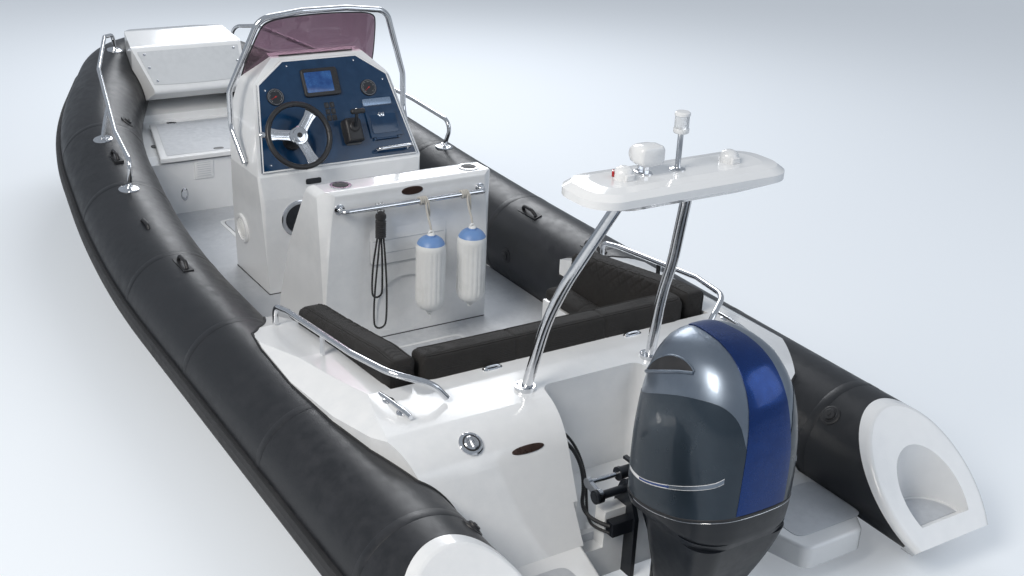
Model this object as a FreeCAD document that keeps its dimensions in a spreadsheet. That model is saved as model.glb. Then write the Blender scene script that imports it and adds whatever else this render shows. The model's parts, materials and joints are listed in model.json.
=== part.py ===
import FreeCAD, Part
import math
import os
import Sketcher

# Rigid inflatable boat, 6.5 m, afloat. Millimetres, +X to the bow, +Y to port, +Z up.
# The origin lies on the waterline and on the centreline, a little ahead of the transom.

Vec = FreeCAD.Vector
doc = FreeCAD.newDocument("rib_boat")
sheet = doc.addObject("Spreadsheet::Sheet", "Sizes")

# Driving dimensions: name, value, what it measures
SIZES = [
    ("tube_radius", 240, "buoyancy tube"),
    ("tube_aft_x", -345, "tube's upper aft edge"),
    ("tube_spare", 560, "tube beyond its upper aft edge, which the rake cuts off"),
    ("tube_aft_rake", 1.1, "lean of the tube's aft end, run over rise"),
    ("tube_knee", 165, "level where the tube's aft end turns under"),
    ("tube_chin", 105, "how far it comes back under there"),
    ("tube_aft_y", 985, "tube centreline at the stern"),
    ("tube_aft_z", 290, ""),
    ("tube_mid_x", 2700, "where the tube starts to rise"),
    ("tube_mid_y", 990, ""),
    ("tube_mid_z", 335, ""),
    ("tube_bow_x", 4300, "where the tube starts to turn in"),
    ("tube_bow_y", 800, ""),
    ("tube_bow_z", 545, ""),
    ("tube_stem_x", 5470, "tube centreline at the stem"),
    ("tube_stem_y", 300, "half width of the bow's blunt front"),
    ("tube_stem_z", 680, ""),
    ("seat_gap", 0.3, "clearance of a piece on its seat"),
    ("strake_height", 76, "rubbing strake"),
    ("strake_depth", 24, ""),
    ("cap_rim", 56, "end cap's rim, along the tube"),
    ("cap_proud", 6, "how far the rim stands over the tube"),
    ("scoop_fore", -520, "back wall of the cap's step"),
    ("scoop_radius", 150, ""),
    ("scoop_aft", -745, "aft end of the tread"),
    ("tread_level", 178, ""),
    ("scoop_wall", 12, ""),
    ("hull_top", 130, "level of the hull's deck flange"),
    ("keel_aft", -330, "keel at the transom"),
    ("transom_face", -170, "outer face of the transom"),
    ("transom_thick", 60, ""),
    ("transom_top", 280, ""),
    ("transom_half", 195, ""),
    ("sole_thick", 35, "cockpit sole"),
    ("sole_fore", 3870, "foot of the bow platform"),
    ("platform_level", 185, "swim platform's top"),
    ("platform_thick", 90, ""),
    ("platform_aft", -606, ""),
    ("deck_level", 640, "aft deck by the backrest"),
    ("deck_edge", 600, "aft deck where it rolls down"),
    ("deck_edge_x", 50, ""),
    ("well_fore", 240, "front wall of the motor well"),
    ("well_half_fore", 228, ""),
    ("well_half_aft", 300, ""),
    ("bench_level", 400, "seat base"),
    ("bench_front", 960, "rear seat's front"),
    ("bench_side_front", 1340, "side seats' front"),
    ("bench_inner", 520, "side seats' inner edge"),
    ("coaming_inner", 762, "coaming's inner wall"),
    ("coaming_tip", 1560, "coaming's front end"),
    ("backrest_aft", 440, "rear backrest's aft face"),
    ("backrest_thick", 120, ""),
    ("backrest_top", 752, ""),
    ("cushion_thick", 75, "seat cushion"),
    ("pod_aft", 1750, "helm seat pod, foot of its aft face"),
    ("pod_top", 955, ""),
    ("pod_half_top", 458, ""),
    ("pod_half_foot", 440, ""),
    ("pod_depth", 550, "pod at its foot"),
    ("standing_room", 173, "between the pod and the console"),
    ("console_length", 512, "console at its foot"),
    ("console_half", 450, ""),
    ("dash_foot", 802, "lower edge of the dash"),
    ("dash_lean", 0.57, "dash's lean, run over rise"),
    ("dash_top", 1330, ""),
    ("dash_thick", 14, "dash panel"),
    ("wheel_radius", 162, "steering wheel to its rim's centre"),
    ("wheel_rim", 14, "rim's section radius"),
    ("wheel_y", 250, "wheel's centre"),
    ("wheel_rise", 165, "wheel's centre above the dash's lower edge, along the dash"),
    ("wheel_reach", 130, "wheel's centre off the dash"),
    ("locker_level", 500, "bow platform's top"),
    ("locker_wall", 20, ""),
    ("lid_thick", 26, "bow locker lid"),
    ("lid_aft", 3845, ""),
    ("lid_fore", 4600, "lid's fore edge, its hinge line"),
    ("mast_tube", 21, "mast leg, radius"),
    ("mast_foot_x", 250, ""),
    ("mast_foot_y", 296, ""),
    ("mast_head_x", -68, ""),
    ("mast_head_y", 136, ""),
    ("wing_level", 1466, "underside of the mast's wing"),
    ("wing_half", 420, ""),
    ("wing_fore", -15, ""),
    ("wing_aft", -290, ""),
    ("rail_tube", 12.5, "hand rails, radius"),
    ("tilt_x", -150, "tilt tube"),
    ("tilt_z", 345, ""),
    ("tilt_tube", 16, "tilt tube, radius"),
    ("swivel_x", -290, "steering axis"),
    ("swivel_shaft", 28, ""),
    ("pin_gap", 0.05, "running clearance of a pin, radial"),
    ("cowl_foot", 440, "lower edge of the cowl"),
    ("cavitation_plate", -350, "anti-ventilation plate"),
    ("prop_z", -575, "propeller shaft"),
    ("prop_radius", 187, ""),
    ("ram_ahead", 68, "steering cylinder ahead of the tilt tube"),
    ("ram_above", 20, ""),
    ("ram_half", 85, "half length of the cylinder's body"),
    ("ram_travel", 116, "how far the cylinder slides each way"),
    ("glove_depth", 150, "glovebox behind the dash"),
    ("cup_radius", 38, "cup holder's well"),
    ("cup_depth", 62, ""),
    ("hull_skin", 28, "hull wall beside the bow platform"),
    ("fender_radius", 66, ""),
    ("fender_length", 430, ""),
]
for row, (alias, value, note) in enumerate(SIZES, start=1):
    sheet.set(f"A{row}", alias)
    sheet.set(f"B{row}", str(value))
    sheet.setAlias(f"B{row}", alias)
    sheet.set(f"C{row}", note)
doc.recompute()


class Dim:
    """A length with the expression that ties it to the sheet."""

    def __init__(self, value, text):
        self.value = value
        self.text = text

    def __float__(self):
        return float(self.value)

    def join(self, other, sign, value):
        text = other.text if isinstance(other, Dim) else repr(other)
        return Dim(value, f"({self.text} {sign} {text})")

    def __add__(self, other):
        return self.join(other, "+", float(self) + float(other))

    def __sub__(self, other):
        return self.join(other, "-", float(self) - float(other))

    def __mul__(self, other):
        return self.join(other, "*", float(self) * float(other))

    def __neg__(self):
        return Dim(-self.value, f"(-1 * {self.text})")


S = {alias: Dim(float(value), f"Sizes.{alias}") for alias, value, note in SIZES}
S["console_aft"] = S["pod_aft"] + S["pod_depth"] + S["standing_room"]
S["console_fore"] = S["console_aft"] + S["console_length"]
V = {alias: float(value) for alias, value in S.items()}
PARTS = {}
PLANE_AXES = {"XY": "XY_Plane", "XZ": "XZ_Plane", "YZ": "YZ_Plane"}


def keep(node, thing):
    """Name a sub-part after its node and keep it for export."""
    thing.Label = node
    PARTS[node] = thing
    return thing


def number(value):
    return float(value)


def outline(body, name, plane, corners, offset=None):
    """A closed sketch of straight lines, each corner bound to the sheet."""
    sketch = body.newObject("Sketcher::SketchObject", name)
    role = PLANE_AXES[plane]
    sketch.AttachmentSupport = [(f, "") for f in body.Origin.OriginFeatures if f.Role == role]
    sketch.MapMode = "FlatFace"
    count = len(corners)
    flat = [Vec(number(a), number(b), 0) for a, b in corners]
    for i in range(count):
        sketch.addGeometry(Part.LineSegment(flat[i], flat[(i + 1) % count]), False)
    for i in range(count):
        sketch.addConstraint(Sketcher.Constraint("Coincident", i, 2, (i + 1) % count, 1))
    for i, corner in enumerate(corners):
        for kind, along, value in (("DistanceX", -2, corner[0]), ("DistanceY", -1, corner[1])):
            if number(value) == 0:
                sketch.addConstraint(Sketcher.Constraint("PointOnObject", i, 1, along))
                continue
            index = sketch.addConstraint(Sketcher.Constraint(kind, -1, 1, i, 1, number(value)))
            if isinstance(value, Dim):
                sketch.setExpression(f"Constraints[{index}]", value.text)
    if offset is not None:
        sketch.AttachmentOffset = FreeCAD.Placement(Vec(0, 0, number(offset)), FreeCAD.Rotation())
        if isinstance(offset, Dim):
            sketch.setExpression(".AttachmentOffset.Base.z", offset.text)
    return sketch


def add_pad(body, sketch, length, both_ways=False):
    pad = body.newObject("PartDesign::Pad", sketch.Name + "_pad")
    pad.Profile = sketch
    pad.Length = number(length)
    if isinstance(length, Dim):
        pad.setExpression("Length", length.text)
    pad.Midplane = both_ways
    sketch.Visibility = False
    return pad


def prism(name, plane, corners, length, offset=None, both_ways=False):
    """A body padded from one outline."""
    body = doc.addObject("PartDesign::Body", name)
    sketch = outline(body, name + "_outline", plane, corners, offset)
    add_pad(body, sketch, length, both_ways)
    return body


def round_edges(body, name, radius, wanted):
    """Fillet the edges that pass a test of their middle point and direction."""
    doc.recompute()
    tip = body.Tip
    names = []
    for index, edge in enumerate(tip.Shape.Edges, start=1):
        middle = edge.valueAt((edge.FirstParameter + edge.LastParameter) / 2)
        way = edge.tangentAt((edge.FirstParameter + edge.LastParameter) / 2)
        if wanted(middle, way):
            names.append(f"Edge{index}")
    if not names:
        raise RuntimeError(f"{name} finds no edge")
    fillet = body.newObject("PartDesign::Fillet", name)
    fillet.Base = (tip, names)
    fillet.Radius = number(radius)
    if isinstance(radius, Dim):
        fillet.setExpression("Radius", radius.text)
    body.Tip = fillet
    doc.recompute()
    return fillet


def cut(name, base, tool):
    result = doc.addObject("Part::Cut", name)
    result.Base = base
    result.Tool = tool
    return result


def common(name, *things):
    result = doc.addObject("Part::MultiCommon", name)
    result.Shapes = list(things)
    return result


def fuse(name, *things):
    result = doc.addObject("Part::MultiFuse", name)
    result.Shapes = list(things)
    return result


def feature(name, shape):
    """A shape made in code from the sheet's values."""
    thing = doc.addObject("Part::Feature", name)
    thing.Shape = shape
    thing.Placement = FreeCAD.Placement()
    return thing


def mirror_y(point):
    return (point[0], -point[1], point[2])


def corner_reaches(corners, end_share=0.45):
    """How far from each inner corner its arc may start, from the runs on both sides."""
    reaches = []
    last = len(corners) - 2
    for i in range(1, len(corners) - 1):
        back = (corners[i - 1] - corners[i]).Length * (end_share if i == 1 else 0.45)
        ahead = (corners[i + 1] - corners[i]).Length * (end_share if i == last else 0.45)
        reaches.append(min(back, ahead))
    return reaches


def corner_turns(corners):
    """Half the turn at each inner corner."""
    turns = []
    for i in range(1, len(corners) - 1):
        back = corners[i - 1] - corners[i]
        turns.append((math.pi - back.getAngle(corners[i + 1] - corners[i])) / 2)
    return turns


def rounded_path(points, bend=None, end_share=0.45):
    """Straight runs joined by tangent arcs; with no bend radius each arc is as large as its runs allow."""
    corners = [Vec(*p) for p in points]
    edges = []
    start = corners[0]
    rooms = corner_reaches(corners, end_share)
    for i, half in enumerate(corner_turns(corners), start=1):
        room = rooms[i - 1]
        reach = room if bend is None else min(bend * math.tan(half), room)
        size = reach / math.tan(half)
        enter = corners[i] + (corners[i - 1] - corners[i]).normalize() * reach
        leave = corners[i] + (corners[i + 1] - corners[i]).normalize() * reach
        inward = ((enter + leave) * 0.5 - corners[i]).normalize()
        middle = corners[i] + inward * (size / math.cos(half) - size)
        edges.append(Part.LineSegment(start, enter).toShape())
        edges.append(Part.Arc(enter, middle, leave).toShape())
        start = leave
    edges.append(Part.LineSegment(start, corners[-1]).toShape())
    return Part.Wire(edges)


def pipe(points, section_radius, bend=None, end_share=0.45):
    """A round tube along a rounded path."""
    path = rounded_path(points, bend, end_share)
    start = Vec(*points[0])
    way = Vec(*points[1]) - start
    ring = Part.Face(Part.Wire(Part.makeCircle(section_radius, start, way)))
    return path.makePipe(ring)


def disc(centre, way, radius, length):
    return Part.makeCylinder(radius, length, Vec(*centre), Vec(*way))


def ring_on(centre, way, inner, outer, length):
    return disc(centre, way, outer, length).cut(disc(centre, way, inner, length))


def block(x0, x1, y0, y1, z0, z1):
    return Part.makeBox(x1 - x0, y1 - y0, z1 - z0, Vec(x0, y0, z0))


def stack_loft(sections, ruled=False):
    """A loft through level rounded rectangles: height, fore x, aft x, half width, corner radius."""
    wires = []
    for height, fore, aft, half, corner in sections:
        wires.append(level_loop(height, fore, aft, half, corner))
    return Part.makeLoft(wires, True, ruled)


def level_loop(height, fore, aft, half, corner):
    """A level rounded rectangle that starts at its fore middle."""
    quarter = corner * (1 - math.sqrt(0.5))
    edges = []
    spots = [(fore, half, 1, 1), (aft, half, -1, 1), (aft, -half, -1, -1), (fore, -half, 1, -1)]
    joints = []
    for x, y, sx, sy in spots:
        first = Vec(x, y - sy * corner, height)
        middle = Vec(x - sx * quarter, y - sy * quarter, height)
        last = Vec(x - sx * corner, y, height)
        if sx * sy < 0:
            first, last = last, first
        joints.append((first, middle, last))
    for i, (first, middle, last) in enumerate(joints):
        edges.append(Part.Arc(first, middle, last).toShape())
        following = joints[(i + 1) % 4][0]
        edges.append(Part.LineSegment(last, following).toShape())
    return Part.Wire(edges)


# Buoyancy tubes, each half a collar that meets its twin at the stem
def tube_route(side):
    """Tube centreline from the stern to the stem."""
    return [
        (V["tube_aft_x"] - V["tube_spare"], side * V["tube_aft_y"], V["tube_aft_z"]),
        (V["tube_mid_x"], side * V["tube_mid_y"], V["tube_mid_z"]),
        (V["tube_bow_x"], side * V["tube_bow_y"], V["tube_bow_z"]),
        (V["tube_stem_x"], side * V["tube_stem_y"], V["tube_stem_z"]),
        (V["tube_stem_x"], 0, V["tube_stem_z"]),
    ]


def tube_solid(side, radius):
    return pipe(tube_route(side), radius, None, 0.97)


def stern_wedge(shift=0.0):
    """What lies aft of the tube's raked end, which turns under at its knee."""
    top = V["tube_aft_z"] + V["tube_radius"]
    rake = V["tube_aft_rake"]
    fore = V["tube_aft_x"] + shift
    reach = 600
    knee = fore - rake * (top - V["tube_knee"])
    foot = V["tube_aft_z"] - V["tube_radius"]
    corners = [(fore + rake * reach, top + reach), (knee, V["tube_knee"]), (knee + V["tube_chin"], foot),
               (knee + 2 * V["tube_chin"], 2 * foot - V["tube_knee"]), (-3000, 2 * foot - V["tube_knee"]), (-3000, top + reach)]
    face = Part.Face(Part.makePolygon([Vec(x, -2000, z) for x, z in corners + corners[:1]]))
    return face.extrude(Vec(0, 4000, 0))


def scoop_form(side, grow):
    """The end cap's scooped step; its wall is the form grown by the wall's thickness."""
    y = side * V["tube_aft_y"]
    radius = V["scoop_radius"] + grow
    low = V["tread_level"] - grow
    round_wall = disc((V["scoop_fore"] - V["scoop_radius"], y, low), (0, 0, 1), radius, 700)
    return round_wall.common(block(V["scoop_aft"] - grow, 0, y - 400, y + 400, low, low + 700))


wedge = stern_wedge()
envelope_shapes = []
for side, name in ((1, "port"), (-1, "starboard")):
    full = tube_solid(side, V["tube_radius"])
    hollow = scoop_form(side, V["scoop_wall"] + V["seat_gap"])
    keep(f"tube_{name}", feature(f"tube_{name}", full.cut(wedge).cut(hollow)))
    envelope_shapes.append(tube_solid(side, V["tube_radius"] + V["seat_gap"]))
envelope = feature("tube_envelope", envelope_shapes[0].fuse(envelope_shapes[1]))


# Rubbing strakes along the tubes' outer sides
def strake_solid(side):
    """A band along the tube's own path, less the tube."""
    spots = [Vec(*p) for p in tube_route(side)]
    spots[-1] = spots[-1] + Vec(0, side * V["seat_gap"], 0)
    path = rounded_path(spots, None, 0.97)
    tall = V["strake_height"] / 2
    back = V["tube_radius"] - 60
    deep = V["tube_radius"] + V["strake_depth"]
    bevel = V["strake_depth"] * 0.3
    corners = [(back, -tall), (deep - bevel, -tall), (deep, -tall * 0.45), (deep, tall * 0.45), (deep - bevel, tall), (back, tall)]
    loop = [spots[0] + Vec(0, side * out, up) for out, up in corners]
    ring = Part.makePolygon(loop + loop[:1])
    shell = Part.BRepOffsetAPI.MakePipeShell(path)
    shell.setBiNormalMode(Vec(0, 0, 1))
    shell.add(ring)
    shell.build()
    shell.makeSolid()
    band = shell.shape().cut(envelope.Shape).cut(stern_wedge(6))
    return max(band.Solids, key=lambda solid: solid.Volume)


strakes = [strake_solid(side) for side in (1, -1)]
keep("rub_strakes", feature("rub_strakes", Part.makeCompound(strakes)))


# End caps with a moulded step, one at each tube's aft end
def end_cap(side):
    """A raked, rounded rim round a scooped step that is sunk into the tube."""
    y = side * V["tube_aft_y"]
    radius = V["tube_radius"] + V["cap_proud"]
    barrel = Part.makeCylinder(radius, 1200, Vec(-1300, y, V["tube_aft_z"]), Vec(1, 0, 0))
    rim = barrel.cut(stern_wedge(-V["cap_rim"])).common(stern_wedge(-V["seat_gap"]))
    aft_edges = []
    for edge in rim.Edges:
        middle = edge.valueAt((edge.FirstParameter + edge.LastParameter) / 2)
        line = V["tube_aft_x"] - V["cap_rim"] - V["tube_aft_rake"] * (V["tube_aft_z"] + V["tube_radius"] - middle.z)
        chin = middle.z < V["tube_knee"] and middle.x < V["tube_aft_x"] - 250
        if abs(middle.x - line) < 3 and edge.Curve.TypeId != "Part::GeomLine" and not chin:
            aft_edges.append(edge)
    rim = rim.makeFillet(20, aft_edges)
    shell = scoop_form(side, V["scoop_wall"]).cut(stern_wedge(-V["cap_rim"] / 2))
    return rim.fuse(shell).cut(scoop_form(side, 0))


keep("end_caps", feature("end_caps", Part.makeCompound([end_cap(1), end_cap(-1)])))

# Hull: V bottom with chines, at even spacing. Columns: x, keel z, chine y, chine z, sheer y, sheer z
HULL_STATIONS = [
    (V["transom_face"], V["keel_aft"], 780, -95, 830, 190),
    (930, V["keel_aft"], 795, -90, 850, 225),
    (2030, V["keel_aft"] + 4, 795, -75, 850, 265),
    (3130, V["keel_aft"] + 30, 755, -15, 840, 345),
    (4230, V["keel_aft"] + 170, 585, 125, 690, 475),
    (5330, V["keel_aft"] + 640, 90, 470, 200, 640),
]


def hull_loop(x, keel_z, chine_y, chine_z, sheer_y, sheer_z, skin=0.0):
    """A hull section; a skin moves it inside by that much."""
    half = [(0, keel_z + skin), (chine_y - skin, chine_z + skin / 2), (chine_y + 30 - skin, chine_z + skin / 2),
            (sheer_y - skin, sheer_z + 2 * skin)]
    loop = half + [(-y, z) for y, z in reversed(half[1:])]
    return Part.makePolygon([Vec(x, y, z) for y, z in loop + loop[:1]])


hull_form = Part.makeLoft([hull_loop(*station) for station in HULL_STATIONS], True, False)
hull_inner = Part.makeLoft([hull_loop(*station, V["hull_skin"]) for station in HULL_STATIONS], True, False)
board = block(V["transom_face"], V["transom_face"] + V["transom_thick"],
              -V["transom_half"], V["transom_half"], V["hull_top"] - 5, V["transom_top"])
deck_fore = V["lid_fore"] + 130
deck_room = hull_inner.common(block(2300, deck_fore, -1000, 1000, V["hull_top"], 1500))
deck_room = deck_room.fuse(block(V["transom_face"] - 10, 2300, -1100, 1100, V["hull_top"], 1500))
deck_space = feature("deck_space", deck_room)
hull_shape = hull_form.cut(deck_room).cut(envelope.Shape).fuse(board)
keep("hull", feature("hull", hull_shape.removeSplitter()))


def slab(name, fore_plan, level, thick):
    """A level slab of one outline, kept inside the hull's deck space and clear of the tubes."""
    return cut(name, common(name + "_form", prism(name + "_plan", "XY", fore_plan, thick, level), deck_space), envelope)


# Cockpit sole
board_fore = S["transom_face"] + S["transom_thick"]
keep("cockpit_sole", slab(
    "cockpit_sole",
    [(board_fore, -1100.0), (S["sole_fore"], -1100.0), (S["sole_fore"], 1100.0), (board_fore, 1100.0)],
    S["hull_top"], S["sole_thick"]))

# Swim platforms on both sides of the motor
sole_top = S["hull_top"] + S["sole_thick"]
for side, name in ((1, "port"), (-1, "starboard")):
    plan = prism(
        f"platform_{name}", "XY",
        [(S["transom_face"] - 0.3, S["well_half_aft"] * side), (S["platform_aft"], S["well_half_aft"] * side + 110 * side),
         (S["platform_aft"], S["tube_aft_y"] * side - 290 * side), (S["transom_face"] - 0.3, S["tube_aft_y"] * side)],
        S["platform_thick"], S["platform_level"] - S["platform_thick"])
    round_edges(plan, f"platform_{name}_corner", 45,
                lambda m, w: abs(w.z) > 0.9 and m.x < V["platform_aft"] + 5)
    round_edges(plan, f"platform_{name}_brim", 14,
                lambda m, w: m.z > V["platform_level"] - 1 and m.x < V["transom_face"] - 5)
    keep(f"swim_platform_{name}", cut(f"swim_platform_{name}", plan, envelope))

# Aft moulding: coamings over the tubes, seat base, aft deck and motor well
coaming_half = [(S["coaming_tip"], 805.0), (S["coaming_tip"] - 60, 905.0), (S["bench_side_front"] + 40, 960.0),
                (1128.0, 993.0), (800.0, 1005.0), (464.0, 985.0), (228.0, 948.0), (18.0, 880.0),
                (-89.0, 827.0), (S["transom_face"] - 20, 765.0)]
moulding_plan = prism(
    "moulding_plan", "XY",
    coaming_half + [(x, -y) for x, y in reversed(coaming_half)],
    900.0, sole_top)
moulding_side = prism(
    "moulding_side", "XZ",
    [(S["coaming_tip"], sole_top), (S["coaming_tip"], S["bench_level"] + 85), (S["bench_side_front"], S["bench_level"] + 150),
     (900.0, S["deck_edge"] + 5), (S["backrest_aft"], S["deck_level"]), (S["deck_edge_x"], S["deck_edge"]),
     (S["transom_face"] - 20, S["platform_level"]), (S["transom_face"], S["platform_level"]),
     (S["transom_face"], sole_top)],
    2400.0, None, True)
round_edges(moulding_side, "deck_roll", 240,
            lambda m, w: abs(w.y) > 0.9 and abs(m.x - V["deck_edge_x"]) < 2 and abs(m.z - V["deck_edge"]) < 2)
moulding_section = prism(
    "moulding_section", "YZ",
    [(-1060.0, sole_top), (1060.0, sole_top), (1060.0, 530.0), (850.0, S["deck_level"] + 10),
     (-850.0, S["deck_level"] + 10), (-1060.0, 530.0)],
    2400.0, S["transom_face"] - 100)
round_edges(moulding_section, "deck_shoulder", 260,
            lambda m, w: abs(w.x) > 0.9 and abs(abs(m.y) - 850) < 2 and m.z > V["deck_edge"])
moulding_form = common("moulding_form", moulding_plan, moulding_side, moulding_section)

footwell = prism(
    "footwell", "XY",
    [(S["bench_front"], -S["bench_inner"]), (S["bench_side_front"], -S["bench_inner"]),
     (S["bench_side_front"], -S["tube_aft_y"]), (S["coaming_tip"] + 10, -S["tube_aft_y"]),
     (S["coaming_tip"] + 10, S["tube_aft_y"]), (S["bench_side_front"], S["tube_aft_y"]),
     (S["bench_side_front"], S["bench_inner"]), (S["bench_front"], S["bench_inner"])],
    S["bench_level"] - sole_top + 2, sole_top - 1)
seat_space = prism(
    "seat_space", "XY",
    [(S["backrest_aft"], -S["coaming_inner"]), (S["coaming_tip"] + 10, -S["coaming_inner"]),
     (S["coaming_tip"] + 10, S["coaming_inner"]), (S["backrest_aft"], S["coaming_inner"])],
    800.0, S["bench_level"])
motor_well = prism(
    "motor_well", "XY",
    [(S["well_fore"], -S["well_half_fore"]), (S["well_fore"], S["well_half_fore"]),
     (S["transom_face"] - 60, S["well_half_aft"]), (S["transom_face"] - 60, -S["well_half_aft"])],
    800.0, S["platform_level"])
round_edges(motor_well, "well_corner", 45, lambda m, w: abs(w.z) > 0.9 and m.x > V["well_fore"] - 5)
board_room = prism(
    "board_room", "XY",
    [(S["transom_face"] - 60, -S["well_half_aft"]), (S["transom_face"] + S["transom_thick"], -S["well_half_aft"]),
     (S["transom_face"] + S["transom_thick"], S["well_half_aft"]), (S["transom_face"] - 60, S["well_half_aft"])],
    400.0, sole_top - 1)

# Hoses from the motor well's port wall to the block on the clamp bracket: diameter and route
block_face = 190
hose_end = block_face + V["seat_gap"]
HOSES = {
    "hose_large": (16, [(150, 241, 468), (105, 190, 440), (50, 160, 370), (-5, 175, 295), (-60, 225, 252),
                        (-140, 228, 237), (-198, hose_end, 236)]),
    "hose_small": (12, [(195, 234, 492), (150, 180, 462), (95, 140, 390), (35, 140, 305), (-25, 175, 240),
                        (-80, 208, 213), (-142, 222, 207), (-198, hose_end, 207)]),
}
sleeves = [pipe(route, diameter / 2 + V["seat_gap"]) for diameter, route in HOSES.values()]
hose_room = sleeves[0].fuse(sleeves[1])
hose_sockets = feature("hose_sockets", hose_room)
moulding_tools = fuse("moulding_tools", footwell, seat_space, motor_well, board_room, envelope, hose_sockets)
keep("aft_moulding", cut("aft_moulding", moulding_form, moulding_tools))

# Cushions of the U-shaped seat
gap = S["seat_gap"]
cushion_half = [(S["bench_side_front"] - 10, S["bench_inner"]), (S["bench_side_front"] - 10, S["coaming_inner"] - 121),
                (S["backrest_aft"] + 120.6, S["coaming_inner"] - 121)]
seat_cushion = prism(
    "seat_cushion", "XY",
    [(S["bench_front"], S["bench_inner"])] + cushion_half
    + [(x, -y) for x, y in reversed(cushion_half)] + [(S["bench_front"], -S["bench_inner"])],
    S["cushion_thick"], S["bench_level"] + gap)
round_edges(seat_cushion, "seat_cushion_edge", 22,
            lambda m, w: abs(w.z) < 0.1 and m.z > V["bench_level"] + V["cushion_thick"] - 1)
keep("seat_cushion", seat_cushion)

back_rear = prism(
    "backrest_rear", "XY",
    [(S["backrest_aft"] + gap, -S["coaming_inner"] + 121), (S["backrest_aft"] + S["backrest_thick"], -S["coaming_inner"] + 121),
     (S["backrest_aft"] + S["backrest_thick"], S["coaming_inner"] - 121), (S["backrest_aft"] + gap, S["coaming_inner"] - 121)],
    S["backrest_top"] - S["bench_level"] - gap, S["bench_level"] + gap)
round_edges(back_rear, "backrest_rear_edge", 28,
            lambda m, w: abs(w.y) > 0.9 and m.z > V["backrest_top"] - 1)
keep("backrest_rear", back_rear)
for side, name in ((1, "port"), (-1, "starboard")):
    rest = prism(
        f"backrest_{name}", "XZ",
        [(S["backrest_aft"] + gap, S["bench_level"] + gap), (S["bench_side_front"], S["bench_level"] + gap),
         (S["bench_side_front"], S["backrest_top"] - 130), (S["bench_side_front"] - 80, S["backrest_top"] - 95),
         (S["backrest_aft"] + 160, S["backrest_top"]), (S["backrest_aft"] + gap, S["backrest_top"])],
        S["backrest_thick"],
        -(S["coaming_inner"] - gap) if side > 0 else S["coaming_inner"] - gap - S["backrest_thick"])
    keep(f"backrest_{name}", rest)

# Bow platform: a hollow locker under a hinged lid
locker_hull = slab(
    "locker_hull",
    [(S["sole_fore"], -1000.0), (S["lid_fore"] + 130, -1000.0), (S["lid_fore"] + 130, 1000.0), (S["sole_fore"], 1000.0)],
    S["hull_top"], S["locker_level"] - S["hull_top"])
locker_space = prism(
    "locker_space", "XY",
    [(S["sole_fore"] + S["locker_wall"], -430.0), (S["lid_fore"] - 10, -260.0),
     (S["lid_fore"] - 10, 260.0), (S["sole_fore"] + S["locker_wall"], 430.0)],
    S["locker_level"] - S["hull_top"] - S["locker_wall"] - 70, S["hull_top"] + 70)
locker_hatch = prism(
    "locker_hatch", "XY",
    [(S["sole_fore"] + 60, -380.0), (S["lid_fore"] - 60, -250.0), (S["lid_fore"] - 60, 250.0), (S["sole_fore"] + 60, 380.0)],
    200.0, S["locker_level"] - 100)
locker_tools = fuse("locker_tools", locker_space, locker_hatch)
hinge_z = V["locker_level"] + 12
pin_radius = 5
knuckle = 10
hinge_parts = []
for side in (1, -1):
    for inner in (215, 285):
        ear = block(V["lid_fore"] - knuckle, V["lid_fore"] + knuckle, min(side * inner, side * (inner + 12)),
                    max(side * inner, side * (inner + 12)), V["locker_level"] - 1, hinge_z)
        top = disc((V["lid_fore"], min(side * inner, side * (inner + 12)), hinge_z), (0, 1, 0), knuckle, 12)
        hinge_parts += [ear, top]
    low = min(side * 215, side * 297)
    hinge_parts.append(disc((V["lid_fore"], low, hinge_z), (0, 1, 0), pin_radius, 82))
hinges = feature("locker_hinges", hinge_parts[0].multiFuse(hinge_parts[1:]))
locker_body = cut("locker_body", locker_hull, locker_tools)
keep("bow_platform", fuse("bow_platform", locker_body, hinges))

lid_foot = V["locker_level"] + 0.5
lid_plan = Part.Face(Part.makePolygon([Vec(x, y, lid_foot) for x, y in (
    (V["lid_aft"], -545), (V["lid_fore"] - 14, -380), (V["lid_fore"] - 14, 380), (V["lid_aft"], 545), (V["lid_aft"], -545))]))
lid_shape = lid_plan.extrude(Vec(0, 0, V["lid_thick"]))
top_edges = [e for e in lid_shape.Edges if e.CenterOfMass.z > lid_foot + V["lid_thick"] - 1]
lid_shape = lid_shape.makeFillet(8, top_edges)
for side in (1, -1):
    low = min(side * 230, side * 282)
    leaf = block(V["lid_fore"] - 40, V["lid_fore"], low, low + 52, hinge_z - 6, hinge_z + 6)
    barrel = disc((V["lid_fore"], low, hinge_z), (0, 1, 0), knuckle, 52)
    bore = disc((V["lid_fore"], low - 5, hinge_z), (0, 1, 0), pin_radius + V["pin_gap"], 62)
    lid_shape = lid_shape.fuse(leaf.fuse(barrel)).cut(bore)
keep("bow_locker_lid", feature("bow_locker_lid", lid_shape))

# Bow step: the raised moulding over the stem
step_side = prism(
    "step_side", "XZ",
    [(4632.0, 716.0), (4909.0, 955.0), (5167.0, 1012.0), (5440.0, 965.0), (5560.0, 915.0), (5560.0, 700.0), (4760.0, 640.0)],
    1400.0, None, True)
step_plan = prism(
    "step_plan", "XY",
    [(4600.0, -300.0), (4909.0, -372.0), (5167.0, -335.0), (5400.0, -240.0), (5560.0, -120.0),
     (5560.0, 120.0), (5400.0, 240.0), (5167.0, 335.0), (4909.0, 372.0), (4600.0, 300.0)],
    800.0, 500.0)
round_edges(step_side, "step_brow", 90, lambda m, w: abs(w.y) > 0.9 and m.z > 900 and m.x < 5500)
round_edges(step_side, "step_foot", 24, lambda m, w: abs(w.y) > 0.9 and m.x < 4640)
round_edges(step_plan, "step_corner", 60, lambda m, w: abs(w.z) > 0.9 and m.x < 5450)
step_form = common("step_form", step_side, step_plan)
keep("bow_step", cut("bow_step", step_form, envelope))

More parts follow.
